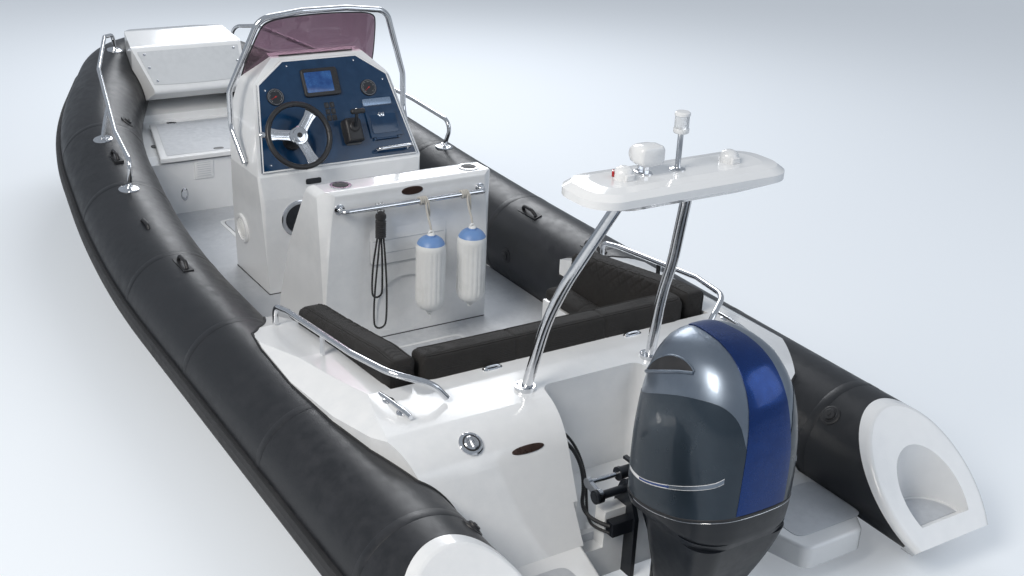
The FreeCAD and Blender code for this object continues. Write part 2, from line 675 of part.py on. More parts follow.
# Console: a closed moulding with a raked dash
dash_slope = V["dash_lean"]
console_side = prism(
    "console_side", "XZ",
    [(S["console_aft"], sole_top), (S["console_aft"], S["dash_foot"] - 120), (S["console_aft"] + 10, S["dash_foot"]),
     (S["console_aft"] + 10 + S["dash_lean"] * (S["dash_top"] - S["dash_foot"]), S["dash_top"]),
     (S["console_fore"] - 120, S["dash_top"] + 10), (S["console_fore"] - 5, S["dash_top"] - 320), (S["console_fore"], sole_top)],
    1200.0, None, True)
console_front = prism(
    "console_front", "YZ",
    [(-S["console_half"] + 25, sole_top), (S["console_half"] - 25, sole_top), (S["console_half"] + 12, S["dash_foot"]),
     (S["console_half"] - 68, S["dash_top"] - 112), (S["console_half"] - 226, S["dash_top"] + 30),
     (-S["console_half"] + 226, S["dash_top"] + 30), (-S["console_half"] + 68, S["dash_top"] - 112),
     (-S["console_half"] - 12, S["dash_foot"])],
    1200.0, S["console_aft"] - 300)
round_edges(console_front, "console_shoulder", 70, lambda m, w: abs(w.x) > 0.9 and m.z > V["dash_top"] - 200)
console_plan = prism(
    "console_plan", "XY",
    [(S["console_aft"] - 1, -(S["console_half"] + 14)), (S["console_fore"] + 1, -(S["console_half"] + 14)),
     (S["console_fore"] + 1, S["console_half"] + 14), (S["console_aft"] - 1, S["console_half"] + 14)],
    1400.0, sole_top - 5)
round_edges(console_plan, "console_bow", 150, lambda m, w: abs(w.z) > 0.9 and m.x > V["console_fore"] - 50)
round_edges(console_plan, "console_corner", 40, lambda m, w: abs(w.z) > 0.9 and m.x < V["console_aft"] + 50)
console_form = common("console_form", console_side, console_front, console_plan)

# Dash frame: u runs to port along the dash, v up its slope from the lower edge
slope_length = math.hypot(dash_slope, 1)
dash_up = Vec(dash_slope / slope_length, 0, 1 / slope_length)
dash_out = Vec(-1 / slope_length, 0, dash_slope / slope_length)
dash_origin = Vec(V["console_aft"] + 10, 0, V["dash_foot"])


def on_dash(u, v, out=0.0):
    return dash_origin + Vec(0, u, 0) + dash_up * v + dash_out * out


def dash_plate(corners, out, thick):
    loop = [on_dash(u, v, out) for u, v in corners]
    return Part.Face(Part.makePolygon(loop + loop[:1])).extrude(dash_out * thick)


def dash_disc(u, v, out, radius, thick):
    return Part.makeCylinder(radius, thick, on_dash(u, v, out), dash_out)


panel_reach = (V["dash_top"] - V["dash_foot"]) * slope_length
shoulder = (V["dash_top"] - 112 - V["dash_foot"]) * slope_length
panel_half = [(V["console_half"] - 10, 22), (V["console_half"] - 84, shoulder - 8), (V["console_half"] - 240, panel_reach - 22)]
panel_corners = panel_half + [(-u, v) for u, v in reversed(panel_half)]
glove_mid = 175 - V["console_half"]
glove_corners = [(glove_mid - 70, 142), (glove_mid + 70, 142), (glove_mid + 75, 256), (glove_mid - 55, 256)]
panel = dash_plate(panel_corners, 0, V["dash_thick"]).cut(dash_plate(glove_corners, -1, V["dash_thick"] + 2))
glove_space = feature("glove_space", dash_plate(glove_corners, -V["glove_depth"], V["glove_depth"] + 1))
keep("console", cut("console", console_form, glove_space))
face = V["dash_thick"]
plotter = dash_plate([(-72, 384), (120, 384), (120, 524), (-72, 524)], face, 16)
gauges = [dash_disc(u, 400, face, 44, 14) for u in (V["console_half"] - 165, 212 - V["console_half"])]
keep("dash_instruments", feature("dash_instruments", Part.makeCompound([plotter] + gauges)))
box = dash_plate([(-40, 120), (-130, 120), (-130, 235), (-40, 235)], face, 60)
lever_foot = on_dash(-85, 190, face + 45)
lever = pipe([tuple(lever_foot), tuple(lever_foot + dash_out * 70), tuple(lever_foot + dash_out * 120 + dash_up * 60)], 11)
keep("throttle_control", feature("throttle_control", box.fuse(lever)))

# Glovebox lid: hinged at its lower edge on a pin between two ears of the dash panel
glove_v = 120
glove_out = face + 8
glove_pin = 3
lid_hinge = on_dash(0, glove_v, glove_out)
ears = []
for u in (glove_mid - 77, glove_mid + 63):
    ear = dash_plate([(u, glove_v - 6), (u + 10, glove_v - 6), (u + 10, glove_v + 6), (u, glove_v + 6)], face - 1, 15)
    ears.append(ear)
pin = Part.makeCylinder(glove_pin, 148, on_dash(glove_mid - 76, glove_v, glove_out), Vec(0, 1, 0))
keep("dash_panel", feature("dash_panel", panel.multiFuse(ears + [pin])))
lid_plate = dash_plate([(glove_mid - 99, 129), (glove_mid + 85, 129), (glove_mid + 91, 268), (glove_mid - 75, 268)], face + 2, 9)
lid_leaf = dash_plate([(glove_mid - 61, glove_v), (glove_mid + 59, glove_v), (glove_mid + 59, 132), (glove_mid - 61, 132)],
                      face + 4, 7)
lid_barrel = Part.makeCylinder(6, 120, on_dash(glove_mid - 61, glove_v, glove_out), Vec(0, 1, 0))
lid_bore = Part.makeCylinder(glove_pin + V["pin_gap"], 160, on_dash(glove_mid - 81, glove_v, glove_out), Vec(0, 1, 0))
latch = dash_disc(glove_mid + 3, 250, face + 10, 11, 6)
keep("glovebox_lid", feature("glovebox_lid", lid_plate.multiFuse([lid_leaf, lid_barrel, latch]).cut(lid_bore)))
grab_in = 250 - V["console_half"]
grab_out = 50 - V["console_half"]
grab = [on_dash(grab_in, 60, face), on_dash(grab_in, 60, face + 45), on_dash(grab_out, 60, face + 45), on_dash(grab_out, 60, face)]
keep("dash_grab_rail", feature("dash_grab_rail", pipe([tuple(p) for p in grab], 9, 25)))

# Steering wheel: rim, three spokes and a hub that turns on the column stub
wheel_v = V["wheel_rise"]
column = on_dash(V["wheel_y"], wheel_v, face)
wheel_centre = on_dash(V["wheel_y"], wheel_v, V["wheel_reach"])
rim = Part.makeTorus(V["wheel_radius"], V["wheel_rim"], wheel_centre, dash_out)
hub = Part.makeCylinder(38, 46, wheel_centre - dash_out * 38, dash_out)
spokes = []
for angle in (10, 130, 250):
    way = Vec(0, 1, 0) * math.cos(math.radians(angle)) + dash_up * math.sin(math.radians(angle))
    spokes.append(pipe([tuple(wheel_centre - dash_out * 12 + way * 30), tuple(wheel_centre - dash_out * 12 + way * 100),
                        tuple(wheel_centre + way * V["wheel_radius"])], 9))
stub_radius = 16
bore = Part.makeCylinder(stub_radius + V["pin_gap"], 30, wheel_centre - dash_out * 38.5, dash_out)
keep("steering_wheel", feature("steering_wheel", rim.multiFuse([hub] + spokes).cut(bore)))
stub = Part.makeCylinder(stub_radius, V["wheel_reach"] - face - 12, column, dash_out)
collar = Part.makeCylinder(48, 30, column, dash_out)
keep("steering_column", feature("steering_column", stub.fuse(collar)))

# Windscreen and its tubular frame
doc.recompute()
console_shape = PARTS["console"].Shape
screen_foot = Vec(V["console_aft"] + 333, 0, V["dash_top"] - 2)
screen_lean = math.atan2(96, 195)
screen_up = Vec(-math.sin(screen_lean), 0, math.cos(screen_lean))
screen_out = Vec(-math.cos(screen_lean), 0, -math.sin(screen_lean))
screen_tall = 238
screen_wide = V["console_half"] - 150
screen_half = [(screen_wide, 0), (screen_wide, screen_tall - 24), (screen_wide - 100, screen_tall)]
screen_loop = [screen_foot + Vec(0, u, 0) + screen_up * v
               for u, v in screen_half + [(-u, v) for u, v in reversed(screen_half)]]
screen_face = Part.Face(Part.makePolygon(screen_loop + screen_loop[:1]))
keep("windscreen", feature("windscreen", screen_face.extrude(screen_out * 5).cut(console_shape)))
frame_aft = V["console_aft"]
frame_out = V["console_half"]
frame_top = V["dash_top"]
frame_half = [(frame_aft + 167, frame_out + 20, V["dash_foot"] + 38), (frame_aft + 282, frame_out + 42, frame_top - 330),
              (frame_aft + 289, frame_out + 42, frame_top - 140), (frame_aft + 212, frame_out - 98, frame_top + 225),
              (frame_aft + 207, 120, frame_top + 252)]
frame_points = frame_half + [mirror_y(p) for p in reversed(frame_half)]
keep("screen_frame", feature("screen_frame", pipe(frame_points, 15, 90)))

# Helm seat pod
pod_side = prism(
    "pod_side", "XZ",
    [(S["pod_aft"], sole_top), (S["pod_aft"] - 35, S["pod_top"]), (S["pod_aft"] + 130, S["pod_top"]),
     (S["pod_aft"] + S["pod_depth"] - 170, 588.0), (S["pod_aft"] + S["pod_depth"] - 10, 230.0),
     (S["pod_aft"] + S["pod_depth"], sole_top)],
    1200.0, None, True)
round_edges(pod_side, "pod_brow", 60, lambda m, w: abs(w.y) > 0.9 and m.z > V["pod_top"] - 1 and m.x > V["pod_aft"] + 50)
round_edges(pod_side, "pod_lip", 24, lambda m, w: abs(w.y) > 0.9 and m.z > V["pod_top"] - 1 and m.x < V["pod_aft"])
pod_front = prism(
    "pod_front", "YZ",
    [(-S["pod_half_foot"], sole_top), (S["pod_half_foot"], sole_top), (S["pod_half_top"], S["pod_top"] + 5),
     (-S["pod_half_top"], S["pod_top"] + 5)],
    1200.0, S["pod_aft"] - 200)
round_edges(pod_front, "pod_shoulder", 48, lambda m, w: abs(w.x) > 0.9 and m.z > V["pod_top"])
pod_plan = prism(
    "pod_plan", "XY",
    [(S["pod_aft"] - 36, -(S["pod_half_top"] + 1)), (S["pod_aft"] + 600, -(S["pod_half_top"] + 1)),
     (S["pod_aft"] + 600, S["pod_half_top"] + 1), (S["pod_aft"] - 36, S["pod_half_top"] + 1)],
    1000.0, sole_top - 5)
round_edges(pod_plan, "pod_corner", 85, lambda m, w: abs(w.z) > 0.9 and m.x < V["pod_aft"])
pod_form = common("pod_form", pod_side, pod_front, pod_plan)
arch = Part.makeCylinder(150, 60, Vec(V["pod_aft"] - 60, 20, 330), Vec(1, 0, 0))
arch = arch.fuse(block(V["pod_aft"] - 60, V["pod_aft"], -130, 170, 200, 330))
pod_recess = feature("pod_recess", arch)
cup_spots = [(V["pod_aft"] + 46, y) for y in (330, -350)]
cup_wells = [disc((x, y, V["pod_top"] - V["cup_depth"]), (0, 0, 1), V["cup_radius"], V["cup_depth"] + 10)
             for x, y in cup_spots]
pod_hollows = fuse("pod_hollows", pod_recess, feature("cup_wells", Part.makeCompound(cup_wells)))
keep("helm_pod", cut("helm_pod", pod_form, pod_hollows))
rail_z = 870
rail_x = V["pod_aft"] - 35 - 45
pod_rail_points = [(V["pod_aft"] - 31, 372, rail_z), (rail_x, 372, rail_z), (rail_x, -372, rail_z), (V["pod_aft"] - 31, -372, rail_z)]
doc.recompute()
keep("pod_rail", feature("pod_rail", pipe(pod_rail_points, V["rail_tube"], 30).cut(PARTS["helm_pod"].Shape)))
cups = [ring_on((x, y, V["pod_top"]), (0, 0, 1), V["cup_radius"], 50, 5) for x, y in cup_spots]
keep("cup_holders", feature("cup_holders", Part.makeCompound(cups)))


fender_x = rail_x - V["fender_radius"] - 10


def fender(y, top):
    """A moulded fender with domed ends and an eye tab at each."""
    radius = V["fender_radius"]
    dome = 62
    neck = 30
    low = top - V["fender_length"]
    rise = [(radius * math.cos(math.radians(a)), dome * math.sin(math.radians(a))) for a in (0, 25, 50, 70)]
    profile = [(0, top), (14, top)] + [(r, top - neck - dome + h) for r, h in reversed(rise)]
    profile += [(r, low + neck + dome - h) for r, h in rise] + [(14, low), (0, low)]
    loop = [Vec(fender_x + r, y, z) for r, z in profile]
    return Part.Face(Part.makePolygon(loop + loop[:1])).revolve(Vec(fender_x, y, 0), Vec(0, 0, 1), 360)


fender_spots = [(-38, 748), (-262, 748)]
keep("fenders", feature("fenders", Part.makeCompound([fender(y, top) for y, top in fender_spots])))
ropes = []
for y, top in fender_spots:
    drop = disc((fender_x, y, top + V["seat_gap"]), (0, 0, 1), 7, rail_z - 30 - top)
    loop = ring_on((rail_x, y - 12, rail_z), (0, 1, 0), V["rail_tube"] + V["seat_gap"], V["rail_tube"] + 12, 24)
    ropes.append(drop.fuse(loop).fuse(block(fender_x - 7, rail_x, y - 7, y + 7, rail_z - 34, rail_z - 20)))
keep("fender_ropes", feature("fender_ropes", Part.makeCompound(ropes)))

# Rope hank on the rail: two hooks, a lashed head and two loops that hang from it
hank_y = 187
hank_foot = rail_z - 150
hank_parts = [disc((rail_x, hank_y, hank_foot), (0, 0, 1), 26, 108)]
for y in (hank_y - 24, hank_y + 14):
    hank_parts.append(ring_on((rail_x, y, rail_z), (0, 1, 0), V["rail_tube"] + V["seat_gap"], V["rail_tube"] + 9, 10))
    hank_parts.append(block(rail_x - 5, rail_x + 5, y, y + 10, hank_foot + 90, rail_z - V["rail_tube"] - 4))
keep("rope_hank", feature("rope_hank", hank_parts[0].multiFuse(hank_parts[1:])))


def cord(node, points, diameter):
    """A limp cord: straight runs joined by the widest arcs that they allow."""
    shape = pipe(points, diameter / 2)
    middle = rounded_path(points).Length
    expected = math.pi * diameter ** 2 / 4 * middle
    if abs(shape.Volume / expected - 1) > 0.02:
        raise RuntimeError(f"{node} crosses itself")
    corners = [Vec(*p) for p in points]
    radii = [room / math.tan(half) for room, half in zip(corner_reaches(corners), corner_turns(corners))]
    print(node, "length", round(middle), "tightest", round(min(radii), 1), "diameter", diameter)
    keep(node, feature(node, shape))


loop_top = hank_foot - V["seat_gap"]
cord("rope_loop_long", [
    (1662, 176, loop_top), (1660, 168, 620), (1659, 162, 520), (1660, 159, 420), (1661, 159, 345), (1662, 162, 290),
    (1663, 167.7, 272.4), (1664, 182.7, 261.5), (1665, 201.3, 261.5), (1666, 216.3, 272.4), (1667, 222, 290),
    (1667, 224, 350), (1666, 220, 440), (1664, 212, 540), (1661, 203, 640), (1660, 197, loop_top)], 10)
cord("rope_loop_short", [
    (1680, 180, loop_top), (1682, 174, 640), (1684, 171, 560), (1684, 171, 490), (1684, 172, 440), (1684, 177, 424.7),
    (1684, 190, 415.3), (1684, 206, 415.3), (1684, 219, 424.7), (1684, 224, 440), (1684, 225, 500), (1683, 219, 590),
    (1681, 208, 660), (1680, 199, loop_top)], 10)


# Hand rails on the tubes and round the seat
def bow_rail(side):
    points = [(3090, 945, 628), (3000, 948, 800), (3420, 905, 850), (4400, 715, 960), (4960, 520, 1030), (5140, 420, 1000), (5190, 395, 860)]
    return pipe([(x, side * y, z) for x, y, z in points], V["rail_tube"], 90)


for side, name in ((1, "port"), (-1, "starboard")):
    rail = bow_rail(side).cut(envelope.Shape)
    keep(f"bow_rail_{name}", feature(f"bow_rail_{name}", rail))

seat_rail_half = [(1330, 850, 560), (1330, 850, 640), (1200, 845, 665), (620, 835, 725), (390, 790, 735), (300, 660, 700), (285, 612, 640)]


def seat_rail(side):
    rail = pipe([(x, side * y, z) for x, y, z in seat_rail_half], V["rail_tube"], 120)
    post = block(865, 895, min(side * 833, side * 841), max(side * 833, side * 841), 600, 690)
    return rail.fuse(post).cut(PARTS["aft_moulding"].Shape)


# Grab handles and rail pads seated on the tubes' tops
def tube_axis(x, side):
    """Centre of the tube abreast of x, on its straight runs."""
    if x < V["tube_mid_x"]:
        aft, fore = Vec(*tube_route(side)[0]), Vec(*tube_route(side)[1])
    else:
        aft, fore = Vec(*tube_route(side)[1]), Vec(*tube_route(side)[2])
    return aft + (fore - aft) * ((x - aft.x) / (fore.x - aft.x))


def tube_handle(x, side, lean):
    """A low moulded handle that lies along the tube at an angle from its crown."""
    centre = tube_axis(x, side)
    angle = math.radians(lean)
    out = Vec(0, -side * math.sin(angle), math.cos(angle))
    foot = centre + out * (V["tube_radius"] + V["seat_gap"])
    grip = pipe([tuple(foot + Vec(-62, 0, 0) + out * 3), tuple(foot + Vec(-40, 0, 0) + out * 32),
                 tuple(foot + Vec(40, 0, 0) + out * 32), tuple(foot + Vec(62, 0, 0) + out * 3)], 9, 40)
    plate = block(-85, 85, -24, 24, -14, 4)
    plate.Placement = FreeCAD.Placement(foot, FreeCAD.Rotation(Vec(0, 0, 1), out))
    return grip.fuse(plate).cut(envelope.Shape)


# Columns: x, side, lean from the crown towards the cockpit
HANDLES = [(2640, 1, -2), (2105, 1, 0), (3500, 1, 0), (2640, -1, 20), (2060, -1, 22), (1480, -1, 20)]
keep("tube_handles", feature("tube_handles", Part.makeCompound([tube_handle(*spot) for spot in HANDLES])))


# Light mast: two legs and a wing
wing_fore = V["wing_fore"]
wing_aft = V["wing_aft"]
wing_half = V["wing_half"]
WING = [(V["wing_level"], wing_fore - 70, wing_aft + 70, wing_half - 150, 50),
        (V["wing_level"] + 40, wing_fore, wing_aft, wing_half, 105),
        (V["wing_level"] + 66, wing_fore, wing_aft, wing_half, 105),
        (V["wing_level"] + 85, wing_fore - 22, wing_aft + 22, wing_half - 26, 90),
        (V["wing_level"] + 92, wing_fore - 60, wing_aft + 60, wing_half - 80, 60)]
keep("mast_wing", feature("mast_wing", stack_loft(WING, True)))


def mast_leg(side):
    points = [(V["mast_foot_x"], side * V["mast_foot_y"], 600), (175, side * 265, 925),
              (100, side * 240, 1100), (V["mast_head_x"], side * V["mast_head_y"], V["wing_level"] + 8)]
    return pipe(points, V["mast_tube"], 900).cut(PARTS["mast_wing"].Shape)


doc.recompute()
moulding_shape = PARTS["aft_moulding"].Shape
rails = [seat_rail(1), seat_rail(-1)]
keep("seat_rails", feature("seat_rails", Part.makeCompound(rails)))
legs = []
for side in (1, -1):
    flange = disc((V["mast_foot_x"], side * V["mast_foot_y"], 600), (0, 0, 1), 40, 34)
    legs.append(mast_leg(side).fuse(flange).cut(moulding_shape))
keep("mast_legs", feature("mast_legs", Part.makeCompound(legs)))

wing_top = V["wing_level"] + 92
lamp_x = (V["wing_fore"] + V["wing_aft"]) / 2
pole = disc((lamp_x, 0, wing_top), (0, 0, 1), 24, 12).fuse(disc((lamp_x, 0, wing_top), (0, 0, 1), 9, 130))
pole = pole.fuse(disc((lamp_x, 0, wing_top + 130), (0, 0, 1), 27, 70))
lamps = [pole]
for y in (225, -225):
    lamps.append(disc((lamp_x, y, wing_top), (0, 0, 1), 34, 30))
horn = Part.makeSphere(48, Vec(lamp_x + 20, 130, wing_top)).common(block(-600, 600, -600, 600, wing_top, wing_top + 200))
lamps.append(horn)
keep("mast_lamps", feature("mast_lamps", Part.makeCompound(lamps)))

# Deck fittings: mooring cleats, fuel filler and pull-up cleat
def cleat(x, y, z, turn):
    base = block(-45, 45, -16, 16, 0, 8)
    horns = pipe([(-105, 0, 42), (-50, 0, 46), (50, 0, 46), (105, 0, 42)], 10)
    posts = [disc((a, 0, 4), (0, 0, 1), 10, 40) for a in (-30, 30)]
    whole = base.multiFuse([horns] + posts)
    whole.rotate(Vec(0, 0, 0), Vec(0, 0, 1), turn)
    whole.translate(Vec(x, y, z))
    return whole


CLEAT_Z = 592
fittings = [cleat(330, 800, CLEAT_Z, 5), cleat(330, -800, CLEAT_Z, -5)]
fittings = [piece.cut(moulding_shape) for piece in fittings]
keep("deck_cleats", feature("deck_cleats", Part.makeCompound(fittings)))
filler = disc((60, 640, 500), (0.55, 0, 0.83), 46, 90).cut(moulding_shape)
keep("fuel_filler", feature("fuel_filler", filler))

# Towing eyes: a stem eye and two at the transom, bent bar with an open bow
EYE_BAR = 8
EYE_BORE = 16


def eye(x, y, z):
    """A forged eye that lies level: a lug with an upright bore, on a shank into the transom."""
    lug = disc((x, y, z - 7), (0, 0, 1), EYE_BORE + 2 * EYE_BAR, 14)
    shank = block(x, x + 60, y - 14, y + 14, z - 7, z + 7)
    return lug.fuse(shank).cut(disc((x, y, z - 10), (0, 0, 1), EYE_BORE, 20))


stern_eyes = [eye(V["transom_face"] - 40, y, 30).cut(hull_shape) for y in (560, -560)]
keep("towing_eyes", feature("towing_eyes", Part.makeCompound(stern_eyes)))

# Outboard motor. The bracket clamps the transom and carries the tilt tube.
face_x = V["transom_face"]
tilt = Vec(V["tilt_x"], 0, V["tilt_z"])
plate_in = 84
plate_thick = 18


def side_plate(y):
    hook = face_x + V["transom_thick"]
    corners = [(face_x, -40), (face_x - 58, -20), (face_x - 58, 250), (tilt.x - 34, tilt.z), (tilt.x - 24, tilt.z + 24),
               (tilt.x, tilt.z + 34), (tilt.x + 24, tilt.z + 24), (tilt.x + 34, tilt.z), (hook + 12, V["transom_top"] + 20),
               (hook + 12, V["transom_top"] - 90), (hook, V["transom_top"] - 90), (hook, V["transom_top"]),
               (face_x, V["transom_top"])]
    loop = [Vec(x, y, z) for x, z in corners]
    return Part.Face(Part.makePolygon(loop + loop[:1])).extrude(Vec(0, plate_thick, 0))


plates = [side_plate(plate_in), side_plate(-plate_in - plate_thick)]
eye_in = V["ram_half"] + V["ram_travel"] + 7
eye_thick = 16
tube_half = eye_in + eye_thick + 14
tube = disc((tilt.x, -tube_half, tilt.z), (0, 1, 0), V["tilt_tube"], 2 * tube_half)
nuts = [disc((tilt.x, y, tilt.z), (0, 1, 0), 26, 10) for y in (tube_half - 12, 2 - tube_half)]
hose_block = block(-215, -172, plate_in + plate_thick - 1, block_face, 195, 250).cut(hose_room)
bracket = plates[0].multiFuse([plates[1], tube, hose_block] + nuts).cut(hull_shape).cut(moulding_shape)
keep("clamp_bracket", feature("clamp_bracket", bracket))

swivel_top = 330
swivel_foot = -60
column_wall = 17
shaft_room = V["swivel_shaft"] + V["pin_gap"]
sleeve = disc((V["swivel_x"], 0, swivel_foot), (0, 0, 1), V["swivel_shaft"] + column_wall, swivel_top - swivel_foot)
knuckle_ring = disc((tilt.x, -plate_in + 3, tilt.z), (0, 1, 0), V["tilt_tube"] + 16, 2 * (plate_in - 3))
arm_corners = [(tilt.x + 10, tilt.z - 30), (face_x - 30, 250), (V["swivel_x"], 120), (V["swivel_x"], 320), (tilt.x, tilt.z + 30)]
arm_loop = [Vec(x, -46, z) for x, z in arm_corners]
arm = Part.Face(Part.makePolygon(arm_loop + arm_loop[:1])).extrude(Vec(0, 92, 0))
swivel = arm.multiFuse([sleeve, knuckle_ring])
swivel = swivel.cut(disc((tilt.x, -200, tilt.z), (0, 1, 0), V["tilt_tube"] + V["pin_gap"], 400))
swivel = swivel.cut(disc((V["swivel_x"], 0, -300), (0, 0, 1), shaft_room, 900))
swivel = swivel.cut(block(face_x - 5, face_x + 200, -300, 300, -300, V["transom_top"] + 6))
keep("swivel_bracket", feature("swivel_bracket", swivel))

# Steering: the cylinder slides along a fixed rod, and its pin moves the arm's open fork
ram_x = tilt.x + V["ram_ahead"]
ram_z = tilt.z + V["ram_above"]
ram_radius = 24
rod_radius = 10
arm_foot = ram_z + ram_radius + 5
arm_thick = 12
arm_reach = ram_x - V["swivel_x"]
fork_half = 12.5
shaft = disc((V["swivel_x"], 0, swivel_foot - 70), (0, 0, 1), V["swivel_shaft"], arm_foot + arm_thick - swivel_foot + 70)
steer_arm = block(V["swivel_x"] - 120, V["swivel_x"] + arm_reach + 42, -30, 30, arm_foot, arm_foot + arm_thick)
fork = block(V["swivel_x"] + arm_reach - 18, V["swivel_x"] + arm_reach + 60, -fork_half, fork_half, arm_foot - 1,
             arm_foot + arm_thick + 1)
lower_yoke = block(V["swivel_x"] - 120, V["swivel_x"] + 40, -48, 48, swivel_foot - 66, swivel_foot - 6)
shaft_shape = shaft.multiFuse([steer_arm.cut(fork), lower_yoke])
keep("steering_shaft", feature("steering_shaft", shaft_shape))

rod_parts = [disc((ram_x, -eye_in - eye_thick, ram_z), (0, 1, 0), rod_radius, 2 * (eye_in + eye_thick))]
for y in (-eye_in - eye_thick, eye_in):
    rod_parts.append(disc((tilt.x, y, tilt.z), (0, 1, 0), V["tilt_tube"] + 12, eye_thick))
    rod_parts.append(disc((ram_x, y, ram_z), (0, 1, 0), rod_radius + 10, eye_thick))
    link_loop = [Vec(x, y, z) for x, z in ((tilt.x, tilt.z - 20), (ram_x, ram_z - 16), (ram_x, ram_z + 16), (tilt.x, tilt.z + 20))]
    rod_parts.append(Part.Face(Part.makePolygon(link_loop + link_loop[:1])).extrude(Vec(0, eye_thick, 0)))
rod = rod_parts[0].multiFuse(rod_parts[1:]).cut(disc((tilt.x, -400, tilt.z), (0, 1, 0), V["tilt_tube"] + V["pin_gap"], 800))
keep("steering_rod", feature("steering_rod", rod))
ram = disc((ram_x, -V["ram_half"], ram_z), (0, 1, 0), ram_radius, 2 * V["ram_half"])
ram = ram.fuse(disc((ram_x, 0, ram_z), (0, 0, 1), 6, ram_radius + arm_thick + 10))
for y in (-V["ram_half"], V["ram_half"] - 14):
    ram = ram.fuse(disc((ram_x, y, ram_z), (0, 1, 0), ram_radius + 3, 14))
ram = ram.cut(disc((ram_x, -400, ram_z), (0, 1, 0), rod_radius + V["pin_gap"], 800))
keep("steering_cylinder", feature("steering_cylinder", ram))

for hose, (diameter, route) in HOSES.items():
    cord(hose, route, diameter)

# Motor: cowl, apron, leg and gearcase, lofted through level sections
# Columns: height, fore x, aft x, half width, corner radius
COWL = [(V["cowl_foot"], -222, -722, 224, 130), (570, -214, -740, 232, 145), (760, -216, -744, 226, 150),
        (930, -235, -714, 202, 150), (1035, -280, -640, 158, 125), (1088, -350, -540, 84, 75)]
keep("motor_cowl", feature("motor_cowl", stack_loft(COWL)))
apron_foot = arm_foot + arm_thick + 6
apron = stack_loft([(V["cowl_foot"] - 0.5, -230, -714, 217, 122), (apron_foot, -236, -704, 208, 116)])
leg = stack_loft([(apron_foot, -346, -704, 206, 84), (200, -346, -630, 150, 66), (0, -346, -540, 96, 44), (-200, -344, -485, 60, 36),
                  (V["cavitation_plate"], -342, -500, 40, 30)])
keep("motor_apron", feature("motor_apron", leg.fuse(apron).cut(shaft_shape)))
plate_corners = [(-300, 0), (-330, 70), (-500, 125), (-760, 118), (-790, 60), (-790, -60), (-760, -118), (-500, -125), (-330, -70)]
plate_loop = [Vec(x, y, V["cavitation_plate"] - 12) for x, y in plate_corners]
plate = Part.Face(Part.makePolygon(plate_loop + plate_loop[:1])).extrude(Vec(0, 0, 11.5))
strut = stack_loft([(V["cavitation_plate"] - 12, -340, -560, 34, 26), (V["prop_z"], -330, -540, 26, 20)])
skeg_loop = [Vec(x, -8, z) for x, z in ((-360, V["prop_z"]), (-420, V["prop_z"] - 190), (-520, V["prop_z"] - 200),
                                        (-575, V["prop_z"] - 60), (-575, V["prop_z"]), (-360, V["prop_z"]))]
skeg = Part.Face(Part.makePolygon(skeg_loop)).extrude(Vec(0, 16, 0))
pod_radius = 56
nose = [(-235, 0), (-250, 22), (-290, 42), (-350, pod_radius), (-560, pod_radius), (-598, 50), (-598, 0)]
nose_loop = [Vec(x, 0, V["prop_z"] + r) for x, r in nose]
torpedo = Part.Face(Part.makePolygon(nose_loop + nose_loop[:1])).revolve(Vec(0, 0, V["prop_z"]), Vec(1, 0, 0), 360)
prop_bore_radius = 14
gearcase = torpedo.multiFuse([plate, strut, skeg]).fuse(disc((-598, 0, V["prop_z"]), (-1, 0, 0), prop_bore_radius, 105))
keep("gearcase", feature("gearcase", gearcase.removeSplitter()))

prop_fore = -603
hub_corners = [(prop_fore, 50), (prop_fore - 95, 44), (prop_fore - 95, 0), (prop_fore, 0)]
hub_loop = [Vec(x, 0, V["prop_z"] + r) for x, r in hub_corners]
prop_hub = Part.Face(Part.makePolygon(hub_loop + hub_loop[:1])).revolve(Vec(0, 0, V["prop_z"]), Vec(1, 0, 0), 360)


def blade():
    """A raked, twisted blade lofted through three flat sections."""
    rows = [(36, 62, 58, 10), (110, 84, 42, 8), (160, 74, 30, 6), (V["prop_radius"], 30, 24, 3)]
    wires = []
    for out, chord, pitch, thick in rows:
        angle = math.radians(pitch)
        along = Vec(-math.cos(angle), math.sin(angle), 0)
        across = Vec(math.sin(angle), math.cos(angle), 0)
        middle = Vec(prop_fore - 48 - out * 0.1, 0, V["prop_z"] + out)
        loop = [middle + along * (a * chord) + across * (b * thick)
                for a, b in ((-0.9, 0), (0, 0.5), (0.9, 0), (0, -0.5))]
        wires.append(Part.makePolygon(loop + loop[:1]))
    return Part.makeLoft(wires, True, True)


blades = []
for angle in (0, 120, 240):
    one = blade()
    one.rotate(Vec(0, 0, V["prop_z"]), Vec(1, 0, 0), angle)
    blades.append(one)
propeller = prop_hub.multiFuse(blades).cut(disc((prop_fore + 10, 0, V["prop_z"]), (-1, 0, 0), prop_bore_radius + V["pin_gap"], 120))
keep("propeller", feature("propeller", propeller))

doc.recompute()
for thing in doc.Objects:
    if "Invalid" in thing.State or "Error" in thing.State:
        raise RuntimeError(f"{thing.Name} failed: {thing.State}")
for node, thing in PARTS.items():
    if thing.Shape.isNull() or not thing.Shape.isValid():
        raise RuntimeError(f"{node} has no valid shape")
os.makedirs("parts", exist_ok=True)
for node, thing in PARTS.items():
    thing.Shape.exportStep(f"parts/{node}.step")
    print(node, len(thing.Shape.Solids), round(thing.Shape.Volume / 1e6, 3))
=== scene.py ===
"""Looks of a rigid inflatable boat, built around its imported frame. Metres, +X bow, +Y port, +Z up."""

import json
import logging
import math
from collections.abc import Callable
from dataclasses import dataclass, field
from enum import Enum

